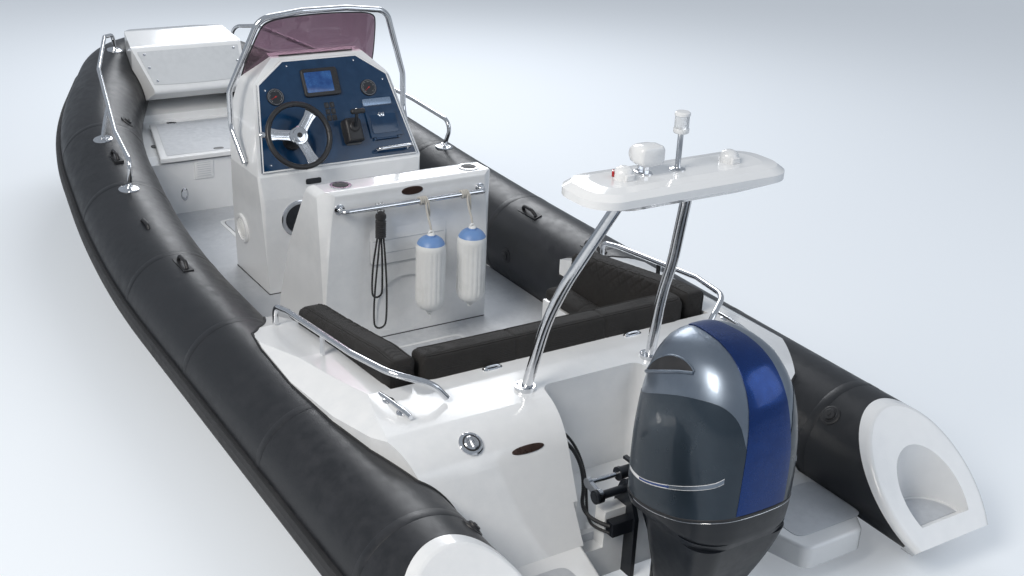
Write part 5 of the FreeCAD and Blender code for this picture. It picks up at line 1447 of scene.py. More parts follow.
    def intakes(self) -> None:
        """Half-moon air openings with a flat lower lip, one each side."""
        first, last = 41.0, 109.0
        sill = Forms.line(((0, 0.903), (0.2, 0.932), (0.4, 0.958), (0.7, 0.988), (1, 1.008)))
        arch = Forms.line(((0, 0.906), (0.07, 0.943), (0.22, 0.988), (0.41, 1.016), (0.69, 1.026), (0.9, 1.02),
            (1, 1.01)))
        for side, word in SIDES:
            mouth = self.panel((side * first, side * last), sill, arch, 0.0012, 28, 8)
            self.piece(f"intake_mouth_{word}", mouth, "strake_rubber")
            rim = [self.spot(side * (first + (last - first) * step / 24), arch(step / 24),
                0.0015) for step in range(25)]
            sill_line = [self.spot(side * (first + (last - first) * step / 24), sill(step / 24) - 0.002,
                0.0035) for step in range(25)]
            self.piece(f"intake_brow_{word}", Forms.rod(rim, 0.0032), "cowl_silver", smooth=60.0)
            self.piece(f"intake_lip_{word}", Forms.rod(sill_line, 0.006), "cowl_silver", smooth=60.0)

    def lines(self) -> None:
        """The rising stripe in three colours, the seam, and the bright bead under it."""
        first, last = 50.0, 147.0

        def share(angle: float) -> float:
            """How far along the side panel an angle lies, 0 to 1."""
            return (angle - first) / (last - first)

        low = Forms.line(((share(50), 0.54), (share(72), 0.548), (share(105), 0.593), (share(141), 0.668),
            (1, 0.688)))
        for side, word in SIDES:
            for name, slot, start, end, drop, tall in (("white", "lamp_white", 50, 147, 0.0, 0.019),
                    ("blue", "stripe_blue", 68, 106, 0.003, 0.012), ("silver", "cowl_silver", 104, 147, 0.002,
                    0.015)):
                proud = 0.003 if name == "white" else 0.0036
                strip = self.panel((side * start, side * end), lambda s, a=start, b=end,
                    d=drop: low(share(a + (b - a) * s)) + d, lambda s, a=start, b=end, d=drop,
                    t=tall: low(share(a + (b - a) * s)) + d + t * (0.55 + 0.45 * share(a + (b - a) * s)), proud, 36,
                    3)
                self.piece(f"stripe_{name}_{word}", strip, slot)
        seam = [self.spot(angle, self.seam_height(angle) + 0.0005, 0.0006) for angle in range(0, 360, 5)]
        self.piece("cowl_seam", Forms.rod(seam, 0.0036, closed=True), "strake_rubber", smooth=60.0)
        bead = [self.spot(angle, self.seam_height(angle) - 0.01, 0.0024) for angle in range(60, 301, 5)]
        self.piece("cowl_bead", Forms.rod(bead, 0.0013), "stainless", smooth=60.0)

    def propeller(self) -> None:
        """A hub cone and nut behind the blades."""
        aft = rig.box("propeller")[0][0]
        profile = [(0.0, 0.0), (0.012, 0.002), (0.018, 0.008), (0.018, 0.016), (0.0, 0.016)]
        nut = Forms.lathe(profile, (aft + 0.001, 0.0, -0.575), (1, 0, 0), 24)
        self.piece("propeller_nut", nut, "stainless", body="propeller")

    def build(self) -> None:
        """Make the whole motor's dress."""
        self.cowl()
        self.panels()
        self.intakes()
        self.lines()
        self.propeller()


@dataclass
class Helm(Assembly):
    """The dash with its instruments, the wheel, the throttle and what stands on the console.

    Attributes:
        origin: the dash plane's place at u = 0 and v = 0.
        rise: metres aft to forward for each metre up the plane.
    """

    origin: tuple = (2.483, 0.0, 0.802)
    rise: float = 0.57
    face: float = 0.014
    rim_radius: float = 0.162
    rim_thick: float = 0.014
    wheel_u: float = 0.25
    wheel_v: float = 0.165
    wheel_out: float = 0.13

    @property
    def up(self) -> Vector:
        """Up the dash."""
        return Vector((self.rise, 0, 1)).normalized()

    @property
    def out(self) -> Vector:
        """Off the dash, towards the helm."""
        return Vector((-1, 0, self.rise)).normalized()

    def at(self, u: float, v: float, out: float = 0.0) -> Vector:
        """A point by its port distance, its rise up the dash and its distance off it."""
        return Vector(self.origin) + Vector((0, u, 0)) + self.up * v + self.out * out

    def board(self, u: float, v: float, out: float = 0.0) -> Matrix:
        """A frame on the dash: X to starboard, Y up the dash, Z off it."""
        return Forms.axes(Vector((0, -1, 0)), self.up, self.out, self.at(u, v, out))

    def plate(self, u: float, v: float, wide: float, tall: float, thick: float, out: float, edge: float = 0.002,
            power: float = 8.0) -> Form:
        """A flat plate with rounded corners on the dash."""
        return Forms.slab(Forms.oval(wide, tall, power, 48), thick, self.board(u, v, out), edge)

    def wheel(self) -> None:
        """A black rim on three flat steel spokes round a hub."""
        centre = self.at(self.wheel_u, self.wheel_v, self.wheel_out)
        rim = Forms.ring(centre, self.out, self.rim_radius, self.rim_thick, 72, 20)
        self.piece("wheel_rim", rim, "wheel_grip", body="wheel", smooth=60.0, replaces=("steering_wheel",))
        wraps = [Forms.ring(centre + arm * self.rim_radius, arm.cross(self.out), self.rim_thick + 0.0006, 0.0012,
            28, 8) for arm in map(self.wheel_arm, range(0, 360, 30))]
        self.piece("wheel_stitching", wraps, "strake_rubber", body="wheel")
        spokes = []
        for angle in (10, 130, 250):
            way = self.wheel_arm(angle)
            lay = Forms.axes(way, way.cross(self.out), self.out, centre - self.out * 0.014)
            outline = [(0.02, -0.03), (0.06, -0.026), (0.11, -0.026), (0.14, -0.031), (0.157, -0.04),
                (0.157, 0.04), (0.14, 0.031), (0.11, 0.026), (0.06, 0.026), (0.02, 0.03)]
            spokes.append(Forms.slab(outline, 0.006, lay, 0.0022))
            for rib in (-0.013, 0.013):
                spokes.append(Forms.rod([lay @ Vector((along, rib, 0.006)) for along in (0.04, 0.095, 0.148)],
                    0.0022))
        self.piece("wheel_spokes", spokes, "stainless", body="wheel")
        hub = Forms.lathe([(0, -0.036), (0.036, -0.036), (0.038, -0.03), (0.038, -0.01), (0.048, -0.006),
            (0.048, -0.001), (0.044, 0.003), (0.036, 0.004), (0.034, 0.0065), (0.026, 0.0085), (0.014, 0.009),
            (0, 0.0092)], centre, self.out, 56)
        self.piece("wheel_hub", hub, "stainless", body="wheel", smooth=35.0)
        cap = Forms.lathe([(0, 0.0084), (0.012, 0.0084), (0.0135, 0.01), (0.01, 0.0116), (0, 0.0122)], centre,
            self.out, 40)
        self.piece("wheel_cap", cap, "black_plastic", body="wheel")

    def wheel_arm(self, angle: float) -> Vector:
        """Direction of a spoke at an angle from the dash's own rise, in degrees."""
        turn = math.radians(angle)
        return Vector((0, 1, 0)) * math.cos(turn) + self.up * math.sin(turn)

    def plotter(self) -> None:
        """A chart screen: frame, glass with a plain blue picture, and its side keys."""
        u, v = 0.024, 0.454
        case = self.plate(u, v, 0.2, 0.148, 0.0165, self.face - 0.0005, 0.005, 14)
        self.piece("plotter_case", case, "black_plastic", replaces=("dash_instruments",))
        lip = self.plate(u + 0.012, v, 0.158, 0.118, 0.0015, self.face + 0.0155, 0.0007, 20)
        self.piece("plotter_lip", lip, "motor_black")
        glass = self.plate(u + 0.012, v, 0.15, 0.108, 0.0012, self.face + 0.0166, 0.0005, 24)
        self.piece("plotter_glass", glass, "plotter_screen")
        keys = [self.plate(-0.065, v - 0.046 + 0.023 * row, 0.013, 0.008, 0.002, self.face + 0.0155, 0.0008,
            5) for row in range(5)]
        self.piece("plotter_keys", keys, "motor_black")

    def gauge(self, name: str, u: float, v: float, reading: float) -> None:
        """A round dial with ticks and a needle, under a steel bezel.

        Args:
            name: the piece's name.
            u: its place across the dash.
            v: its place up the dash.
            reading: the needle's angle in degrees.
        """
        place = self.at(u, v, self.face)
        bezel = Forms.lathe([(0.0, 0.0), (0.0445, 0.0), (0.0445, 0.006), (0.042, 0.009), (0.0385, 0.0095),
            (0.0375, 0.0075), (0.0, 0.0075)], place, self.out, 56)
        self.piece(name + "_bezel", bezel, "black_plastic", smooth=30.0)
        shine = Forms.ring(place + self.out * 0.0088, self.out, 0.04, 0.0011, 56, 8)
        self.piece(name + "_shine", shine, "stainless")
        dial = Forms.lathe([(0, 0.0076), (0.0372, 0.0076), (0.0372, 0.0082), (0, 0.0082)], place, self.out, 48)
        self.piece(name + "_dial", dial, "motor_black")
        ticks = []
        for step in range(21):
            angle = math.radians(225 - 13.5 * step)
            long = 0.0065 if step % 5 == 0 else 0.0035
            lay = self.board(u, v, self.face + 0.0084) @ rotated(angle, 4, "Z") @ shifted((0.034 - long / 2, 0, 0))
            ticks.append(Forms.box((long, 0.0009, 0.0004), lay, 0.0001, 1))
        self.piece(name + "_ticks", ticks, "lamp_white")
        lay = self.board(u, v, self.face + 0.009) @ rotated(math.radians(reading), 4, "Z")
        needle = Forms.slab([(-0.008, -0.0014), (0.029, -0.0004), (0.029, 0.0004), (-0.008, 0.0014)], 0.0006, lay)
        boss = Forms.disc(self.at(u, v, self.face + 0.0086), self.out, 0.004, 0.0024, 0.0006, 20)
        self.piece(name + "_needle", [needle, boss], "needle_red")

    def switches(self) -> None:
        """Rocker switches, a key barrel and a blank light plate with its lens."""
        frames, rockers = [], []
        for column in range(2):
            for row in range(3):
                u, v = 0.018 - 0.03 * column, 0.33 - 0.034 * row
                frames.append(self.plate(u, v, 0.024, 0.03, 0.0032, self.face, 0.0008, 6))
                lay = self.board(u, v, self.face + 0.0032) @ rotated(math.radians(7), 4, "X")
                rockers.append(Forms.box((0.016, 0.022, 0.0055), lay, 0.0014))
        self.piece("switch_frames", frames, "black_plastic")
        self.piece("switch_rockers", rockers, "motor_black")
        barrel = Forms.lathe([(0, 0), (0.0155, 0), (0.0155, 0.004), (0.0125, 0.0062), (0.008, 0.0062),
            (0.0075, 0.01), (0, 0.01)], self.at(0.395, 0.215, self.face), self.out, 32)
        self.piece("key_barrel", barrel, "stainless", smooth=30.0)
        plate = self.plate(-0.268, 0.322, 0.176, 0.046, 0.0035, self.face, 0.0012, 12)
        self.piece("light_plate", plate, "dash_navy")
        lens = self.plate(-0.268, 0.322, 0.164, 0.036, 0.0012, self.face + 0.0032, 0.0005, 14)
        self.piece("light_lens", lens, "plate_blue")

    def throttle(self) -> None:
        """A moulded control box with its lever, and a grip that lies across."""
        outline = [(0.045, -0.06), (0.045, 0.052), (0.034, 0.066), (-0.034, 0.066), (-0.045, 0.052),
            (-0.045, -0.06)]
        box = Forms.slab(outline, 0.058, self.board(-0.085, 0.175, self.face - 0.0005), 0.016, 4)
        self.piece("throttle_box", box, "black_plastic", replaces=("throttle_control",))
        collar = self.plate(-0.085, 0.173, 0.1, 0.136, 0.004, self.face, 0.0015, 7)
        self.piece("throttle_flange", collar, "motor_black")
        hub = Forms.lathe([(0, 0), (0.027, 0), (0.027, 0.006), (0.022, 0.01), (0, 0.01)],
            self.at(-0.085, 0.19, self.face + 0.057), self.out, 40)
        self.piece("throttle_hub", hub, "black_plastic", smooth=35.0)
        foot = self.at(-0.085, 0.19, self.face + 0.064)
        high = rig.box("throttle_control")[1]
        tip = Vector((foot.x - 0.02, -0.085, high.z - 0.02))
        bend = foot.lerp(tip, 0.5) + self.out * 0.01
        lever = Forms.rod([foot, foot.lerp(bend, 0.6), bend, bend.lerp(tip, 0.6), tip], 0.009)
        self.piece("throttle_lever", lever, "motor_black", smooth=60.0)
        grip = Forms.lathe([(0, -0.034), (0.01, -0.033), (0.014, -0.026), (0.0125, -0.01), (0.014, 0.004),
            (0.0125, 0.018), (0.0145, 0.032), (0.012, 0.041), (0, 0.043)], tip + Vector((0, -0.002, 0)),
            (0, -1, 0), 32)
        self.piece("throttle_grip", grip, "black_plastic", smooth=60.0)
        button = Forms.disc(tip + self.up * 0.012, self.up, 0.006, 0.004, 0.001, 20)
        self.piece("throttle_button", button, "stainless")

    def glovebox(self) -> None:
        """A latched lid with a raised border."""
        pan = self.plate(-0.279, 0.1985, 0.154, 0.103, 0.0022, 0.0252, 0.0012, 10)
        self.piece("glovebox_pan", pan, "dash_navy", body="glovebox")
        latch = Forms.join([self.plate(-0.272, 0.249, 0.034, 0.022, 0.003, 0.025, 0.001, 5),
            Forms.disc(self.at(-0.272, 0.249, 0.0275), self.out, 0.0075, 0.003, 0.0008, 28)])
        self.piece("glovebox_latch", latch, "stainless", body="glovebox")

    def trim(self) -> None:
        """A pale raised edge round the dash, and its screws."""
        half = ((0.44, 0.022), (0.366, 0.4708), (0.21, 0.5857))
        corners = [(-u, v) for u, v in half] + [(u, v) for u, v in reversed(half)]
        route = [self.at(u * 0.985, v * 0.993 + 0.002, self.face * 0.6) for u, v in corners]
        edge = Forms.rod(route, 0.0075, smooth=False, closed=True)
        self.piece("dash_edge", edge, "white_moulding", smooth=60.0)
        heads = []
        for u, v in ((0.4, 0.055), (-0.4, 0.055), (0.343, 0.44), (-0.343, 0.44), (0.195, 0.556), (-0.195, 0.556)):
            heads.append(Forms.lathe([(0, 0), (0.0052, 0), (0.0046, 0.0018), (0.002, 0.0026), (0, 0.0026)],
                self.at(u * 0.965, v, self.face), self.out, 16))
        self.piece("dash_screws", heads, "stainless")

    @staticmethod
    def bowed(point: Vector) -> Vector:
        """The point moved forward where the sheet wraps round the console's shoulder."""
        return point + Vector((0.045 * (max(0.0, abs(point.y) - 0.18) / 0.19) ** 2, 0, 0))

    def windscreen(self) -> None:
        """A smoke sheet with rounded upper corners that wraps down the console's shoulders."""
        lean = math.radians(26.2)
        rise = Vector((-math.sin(lean), 0, math.cos(lean)))
        side = Vector((0, -1, 0))
        lay = Forms.axes(side, rise, side.cross(rise), (2.806, 0, 1.328))
        half = Forms.line(((0, 0.372), (0.24, 0.364), (0.6, 0.34), (0.83, 0.32), (0.94, 0.3), (0.985, 0.262),
            (1, 0.215)))

        def place(across: float, share: float) -> Vector:
            """A point of the sheet, by its distance to starboard and its share of the height."""
            crown = 0.02 * share ** 3 * (1 - min(1.0, abs(across) / 0.3) ** 2)
            return self.bowed(lay @ Vector((across, -0.128 + 0.3655 * share + crown, 0.0)))

        def cell(along: float, up: float) -> Vector:
            """The same by the two shares of a cell, which are finer towards the top."""
            share = 1 - (1 - up) ** 1.6
            return place((along - 0.5) * 2 * half(share), share)

        form = Forms.grid(36, 40, cell)
        bmesh.ops.solidify(form, geom=form.faces[:], thickness=0.005)
        Forms.outward(form)
        self.piece("windscreen_sheet", form, "screen_tint", replaces=("windscreen",))
        shares = [1 - (1 - step / 20) ** 1.6 for step in range(20)]
        rim = [place(half(share), share) for share in shares]
        rim += [place(half(1.0) * (1 - step / 6), 1.0) for step in range(13)]
        rim += [place(-half(share), share) for share in reversed(shares)]
        self.piece("windscreen_edge", Forms.rod(rim, 0.0036, smooth=False), "strake_rubber", smooth=60.0)
        foot = [lay @ Vector((x, 0.004, 0.0)) for x in (-0.205, -0.1, 0.0, 0.1, 0.205)]
        self.piece("windscreen_foot", Forms.rod(foot, 0.0075, smooth=False), "strake_rubber", smooth=60.0)

    def build(self) -> None:
        """Make everything at the helm."""
        self.trim()
        self.wheel()
        self.plotter()
        self.gauge("speed_gauge", 0.285, 0.4, 205)
        self.gauge("engine_gauge", -0.238, 0.4, 215)
        self.switches()
        self.throttle()
        self.glovebox()
        self.windscreen()


@dataclass
class Tubes(Assembly):
    """What is glued to the buoyancy tubes: seam tapes, valves, pads and the end caps' treads."""

    radius: float = 0.24
    axis_aft: tuple = (-0.905, 0.985, 0.29)
    axis_mid: tuple = (2.7, 0.99, 0.335)
    axis_bow: tuple = (4.3, 0.8, 0.545)
    tapes: tuple = (-0.2, 0.62, 1.44, 2.26, 3.2, 4.0)

    def axis(self, x: float, side: int) -> tuple:
        """Centre of the tube abreast of x and its direction there."""
        low, high = (self.axis_aft, self.axis_mid) if x < self.axis_mid[0] else (self.axis_mid, self.axis_bow)
        low, high = (Vector((p[0], side * p[1], p[2])) for p in (low, high))
        way = (high - low).normalized()
        return low + (high - low) * ((x - low.x) / (high.x - low.x)), way

    def seams(self) -> None:
        """Overlap tapes round the tubes where their panels join."""
        forms = []
        for side, node in ((1, "tube_port"), (-1, "tube_starboard")):
            tree = Seat(node).tree
            for x in self.tapes:
                centre, way = self.axis(x, side)
                profile = [(self.radius - 0.004, -0.022), (self.radius + 0.0004, -0.0215),
                    (self.radius + 0.0012, -0.019), (self.radius + 0.0012, 0.019), (self.radius + 0.0004, 0.0215),
                    (self.radius - 0.004, 0.022)]
                form = Forms.lathe(profile, centre, way, 72, closed=False)
                for vert in form.verts:
                    place = tree.find_nearest(vert.co)[0]
                    lift = (vert.co - centre - way * (vert.co - centre).dot(way)).length - self.radius
                    vert.co = place + (vert.co - centre).normalized() * lift
                forms.append(form)
        self.piece("tube_seam_tapes", forms, "tube_fabric", smooth=30.0)

    def valve(self, place: Vector, normal: Vector) -> list:
        """An inflation valve: a flange, a collar and a ribbed cap."""
        flange = Forms.lathe([(0, -0.004), (0.041, -0.004), (0.041, 0.0018), (0.036, 0.0035), (0.03, 0.0035),
            (0.028, 0.0065), (0.0, 0.0065)], place, normal, 40)
        cap = Forms.lathe([(0, 0.006), (0.0235, 0.006), (0.0235, 0.012), (0.02, 0.0145), (0.008, 0.0145),
            (0.007, 0.0175), (0, 0.0175)], place, normal, 12)
        return [flange, cap]

    def valves(self) -> None:
        """Inflation valves on the tubes' inner sides."""
        forms = []
        for spot in ((2.044, -0.745, 0.333), (4.125, 0.662, 0.701), (2.044, 0.745, 0.333), (4.125, -0.662, 0.701),
                (-0.258, -0.817, 0.469), (-0.258, 0.817, 0.469)):
            side = 1 if spot[1] > 0 else -1
            centre, way = self.axis(spot[0], side)
            out = Vector(spot) - centre
            out = (out - way * out.dot(way)).normalized()
            place, _ = Seat("tube_port" if side > 0 else "tube_starboard").hit(centre + out * 0.6, -out)
            forms += self.valve(place, out)
        self.piece("inflation_valves", forms, "black_plastic", smooth=35.0)

    def rail_feet(self) -> None:
        """Steel flanges under the bow rails' feet, and the short stanchion between them."""
        flanges, posts = [], []
        for side, node in ((1, "tube_port"), (-1, "tube_starboard")):
            seat = Seat(node)
            for x, y, lean in ((3.088, 0.945, 0.0), (3.757, 0.888, 0.0), (5.18, 0.4, 0.0)):
                place, normal = seat.hit((x, side * y, 1.5), DOWN)
                flanges.append(Forms.lathe([(0, -0.006), (0.053, -0.006), (0.053, 0.002), (0.049, 0.0055),
                    (0.035, 0.0065), (0.033, 0.011), (0.022, 0.013), (0.018, 0.02), (0, 0.02)], place, normal,
                    48))
            place, _ = seat.hit((3.757, side * 0.888, 1.5), DOWN)
            posts.append(Forms.rod([place, (3.763, side * 0.876, 0.78), (3.78, side * 0.841, 0.885)], 0.0125))
        self.piece("rail_foot_flanges", flanges, "stainless")
        self.piece("rail_stanchions", posts, "stainless", smooth=60.0)

    def treads(self) -> None:
        """Grey grip pads on the end caps' steps."""
        forms = []
        for side in (1, -1):
            outline = []
            for step in range(33):
                angle = math.radians(-100 + 200 * step / 32)
                outline.append((-0.67 + 0.132 * math.cos(angle), side * 0.985 + 0.132 * math.sin(angle)))
            outline = [(max(x, -0.705), y) for x, y in outline]
            forms.append(Forms.slab(outline, 0.003, shifted((0, 0, 0.1782)), 0.001))
        self.piece("end_cap_treads", forms, "deck_grip")

    def build(self) -> None:
        """Make every glued part."""
        self.seams()
        self.valves()
        self.rail_feet()
        self.treads()


@dataclass
class Deck(Assembly):
    """Fittings of the white mouldings, from the stern to the bow."""

    def stern(self) -> None:
        """Filler cap, blank oval plate, pull-up cleats, cleat feet and the swim platforms' treads."""
        moulding = Seat("aft_moulding")
        spot, way = moulding.hit((-0.048, 0.64, 0.739), (0.54, 0, -0.84))
        filler = Forms.lathe([(0, -0.003), (0.046, -0.003), (0.046, 0.003), (0.042, 0.007), (0.034, 0.008),
            (0.033, 0.0055), (0, 0.0055)], spot, way, 56)
        groove = Forms.lathe([(0, 0.005), (0.0325, 0.005), (0.0325, 0.0062), (0, 0.0062)], spot, way, 44)
        cap = Forms.lathe([(0, 0.0058), (0.027, 0.0058), (0.027, 0.0095), (0.024, 0.0115), (0.012, 0.0115),
            (0.011, 0.01), (0, 0.01)], spot, way, 44)
        grip = Forms.box((0.006, 0.04, 0.006), Forms.turn(way, spot + way * 0.0125), 0.0015)
        self.piece("filler_ring", filler, "stainless", smooth=30.0, replaces=("fuel_filler",))
        self.piece("filler_groove", groove, "strake_rubber")
        self.piece("filler_cap", [cap, grip], "stainless", smooth=30.0)
        spot, way = moulding.hit((-0.6, 0.432, 0.521), (1, 0, 0))
        across = Vector((0, 1, 0))
        lay = Forms.axes(across, way.cross(across), way, spot - way * 0.001)
        plate = Forms.slab(Forms.oval(0.135, 0.03, 2.2, 44), 0.004, lay, 0.0015)
        self.piece("oval_blank_plate", plate, "bronze_plate")
        for side, word in SIDES:
            spot, way = moulding.hit((0.42, side * 0.337, 1.0), DOWN)
            turn = Forms.turn(way, spot - way * 0.001)
            base = Forms.slab(Forms.oval(0.086, 0.03, 3, 40), 0.004, turn, 0.0015)
            bar = Forms.rod([turn @ Vector((x, 0, z)) for x, z in ((-0.034, 0.004), (-0.028, 0.01),
                (-0.012, 0.012), (0.012, 0.012), (0.028, 0.01), (0.034, 0.004))], 0.005)
            self.piece(f"lift_up_cleat_{word}", [base, bar], "stainless")
        feet = []
        for side, turn_z in ((1, 5), (-1, -5)):
            for dx in (-0.045, 0.045):
                x, y = 0.33 + dx * math.cos(math.radians(turn_z)), side * 0.8 + dx * math.sin(math.radians(turn_z))
                spot, way = moulding.hit((x, y, 1.0), DOWN)
                feet.append(Forms.lathe([(0, -0.002), (0.022, -0.002), (0.021, 0.003), (0.012, 0.006),
                    (0, 0.006)], spot, way, 28))
        self.piece("cleat_feet", feet, "stainless")
        for side, name in ((1, "swim_platform_port"), (-1, "swim_platform_starboard")):
            low, high = box_of(name)
            middle = (low + high) / 2
            inner = shifted((middle.x - 0.01, middle.y + side * 0.02, high.z - 0.0008))
            pad = Forms.slab(Forms.oval(high.x - low.x - 0.16, high.y - low.y - 0.22, 9, 48), 0.0035, inner, 0.001)
            self.piece(name + "_tread", pad, "deck_grip")

    def sole(self) -> None:
        """Hatches with rims and latches set in the cockpit's sole."""
        sole = Seat("cockpit_sole")
        top = sole.hit((3.35, 0.0, 3.0), DOWN)[0].z
        for name, x, y, wide, long in (("fore_hatch", 3.36, 0.0, 0.52, 0.52), ("aft_hatch", 1.42, 0.0, 0.4, 0.34)):
            lay = shifted((x, y, top - 0.0005))
            rim = Forms.slab(Forms.oval(long + 0.05, wide + 0.05, 12, 60), 0.004, lay, 0.0015)
            gap = Forms.slab(Forms.oval(long + 0.006, wide + 0.006, 12, 60), 0.0046, lay, 0.0003)
            lid = Forms.slab(Forms.oval(long, wide, 12, 60), 0.0062, lay, 0.0015)
            self.piece(name + "_rim", rim, "white_moulding")
            self.piece(name + "_gap", gap, "strake_rubber")
            self.piece(name + "_lid", lid, "deck_grip")
            latches = [Forms.lathe([(0, 0), (0.024, 0), (0.024, 0.002), (0.02, 0.0035), (0, 0.0035)],
                (x - long * 0.36, y + dy, top + 0.0055), (0, 0, 1), 32) for dy in (-0.14, 0.14)]
            self.piece(name + "_latches", latches, "stainless", smooth=30.0)

    def bow(self) -> None:
        """Lid furniture, riser vent and pull, platform catches, and the step's bolted panel."""
        low, high = box_of("bow_locker_lid")
        inset = 0.045
        rows = [(x, 0.545 - 0.165 * (x - low.x) / (high.x - low.x) - inset) for x in (low.x + inset, high.x - inset)]
        corners = rows + [(x, -y) for x, y in reversed(rows)]
        pan = Forms.slab(corners, 0.0026, shifted((0, 0, high.z - 0.0004)), 0.0012)
        self.piece("locker_lid_grip", pan, "deck_grip", body="bow_lid")
        catch = [Forms.slab(Forms.oval(0.038, 0.064, 2.6, 36), 0.004, shifted((low.x + 0.075, y, high.z)),
            0.0016) for y in (0.16, -0.16)]
        self.piece("locker_lid_latches", catch, "motor_black", body="bow_lid")
        pull = Forms.rod([(low.x + 0.04, y, high.z + z) for y, z in ((-0.055, 0.001), (-0.048, 0.016),
            (-0.03, 0.02), (0.03, 0.02), (0.048, 0.016), (0.055, 0.001))], 0.0055)
        self.piece("locker_lid_pull", pull, "stainless", body="bow_lid")
        hinges = [Forms.slab(Forms.oval(0.05, 0.06, 6, 32), 0.003, shifted((4.57, y, high.z)),
            0.001) for y in (-0.24, 0.24)]
        self.piece("locker_hinge_leaves", hinges, "stainless", body="bow_lid")
        riser = Seat("bow_platform")
        spot, _ = riser.hit((3.3, 0.276, 0.427), -AFT)
        vent = Forms.join([Forms.slab(Forms.oval(0.118, 0.118, 40, 40), 0.006, Forms.turn(AFT, spot), 0.002),
            Forms.slab(Forms.oval(0.094, 0.094, 12, 40), 0.0068, Forms.turn(AFT, spot), 0.0006)])
        self.piece("riser_vent_frame", vent, "lamp_white")
        slats = [Forms.box((0.084, 0.0035, 0.002), Forms.turn(AFT, spot + Vector((-0.0068, 0, 0.0135 * row))),
            0.0005, 1) for row in range(-3, 4)]
        self.piece("riser_vent_gaps", slats, "deck_grip")
        spot, _ = riser.hit((3.3, 0.403, 0.284), -AFT)
        pull = Forms.lathe([(0, 0), (0.03, 0), (0.03, 0.003), (0.026, 0.006), (0.021, 0.0062), (0.019, 0.003),
            (0, 0.003)], (0, 0, 0), (0, 0, 1), 48)
        bmesh.ops.scale(pull, vec=(0.72, 1.35, 1.0), verts=pull.verts)
        Forms.place(pull, Forms.turn(AFT, spot))
        self.piece("riser_pull", pull, "stainless")
        catches = []
        for side in (1, -1):
            spot, way = riser.hit((4.187, side * 0.472, 1.2), DOWN)
            catches.append(Forms.slab(Forms.oval(0.062, 0.04, 2.4, 36), 0.006,
                Forms.turn(way, spot - way * 0.001), 0.002))
        self.piece("platform_catches", catches, "motor_black")
        self.step()

    def step_face(self, along: float, across: float) -> Vector:
        """A point on the step's sloping face: up it, 0 to 1, and across it, -1 to 1."""
        way = Vector((0.65, 0, -0.76))
        height = 0.752 + 0.178 * along + 0.016 * (1 - along) * across * across
        place, _ = self.seat.hit(Vector((4.673 + 0.207 * along, across * (0.3 + 0.04 * along),
            height)) - way * 0.4, way)
        return place

    def step(self) -> None:
        """The bow step's pale bolted panel with its curved foot, and its screws."""
        self.seat = Seat("bow_step")
        out = Vector((-0.65, 0, 0.76)).normalized()
        form = Forms.grid(14, 28, lambda along, up: self.step_face(along, (up - 0.5) * 2) + out * 0.004)
        bmesh.ops.solidify(form, geom=form.faces[:], thickness=0.0055)
        Forms.outward(form)
        self.piece("bow_step_panel", form, "panel_grey")
        heads = [Forms.disc(self.step_face(along, across) + out * 0.0036, out, 0.0095, 0.0035, 0.0012,
            24) for along, across in ((0.1, -0.9), (0.1, 0.9), (0.9, -0.9), (0.9, 0.9), (0.5, -0.93),
            (0.5, 0.93))]
        self.piece("bow_step_screws", heads, "stainless")

    def pod(self) -> None:
        """Cup wells, rail flanges, a blank plate and a hatch on the helm pod; the wells' dark and the hatch's grey
        lines are painted shade.
        """
        # Painted shade: the cup holders are deep steel wells, and a flat matte dark disc on the pod's top paints the
        # dark of their depth.
        wells = [Forms.lathe([(0, 0), (0.037, 0), (0.037, 0.0012), (0.035, 0.001), (0, 0.0006)],
            (1.796, y, 0.9597), steps=40) for y in (0.33, -0.35)]
        self.piece("cup_wells", wells, "strake_rubber")
        rail = Seat("helm_pod")
        flanges = []
        for y in (0.372, -0.372):
            spot, _ = rail.hit((1.6, y, 0.87), (1, 0, 0))
            flanges.append(Forms.lathe([(0, 0), (0.026, 0), (0.025, 0.003), (0.016, 0.006), (0, 0.006)],
                spot + Vector((0.001, 0, 0)), AFT, 32))
        self.piece("pod_rail_flanges", flanges, "stainless")
        spot, _ = rail.hit((1.6, -0.001, 0.911), (1, 0, 0))
        plate = Forms.slab(Forms.oval(0.112, 0.04, 2.2, 44), 0.004, Forms.turn(AFT,
            spot + Vector((0.001, 0, 0))), 0.0015)
        self.piece("pod_blank_plate", plate, "bronze_plate")
        spot, _ = rail.hit((1.6, 0.01, 0.66), (1, 0, 0))
        lay = Forms.turn(AFT, spot + Vector((0.0005, 0, 0)))
        # Painted shade: the grey ring round the hatch paints the shade in its gap.
        self.piece("pod_hatch_gap", Forms.slab(Forms.oval(0.412, 0.208, 14, 60), 0.0016, lay, 0.0004), "deck_grip")
        self.piece("pod_hatch", Forms.slab(Forms.oval(0.402, 0.198, 14, 60), 0.004, lay, 0.0018), "white_moulding")
        # Painted shade: two grey bars across the hatch paint the shade in its grooves, one at the hinge line.
        ribs = [Forms.box((0.38, 0.004, 0.003), lay @ shifted((0, y, 0.0042)), 0.001, 1) for y in (0.02, -0.045)]
        self.piece("pod_hatch_ribs", ribs, "deck_grip")

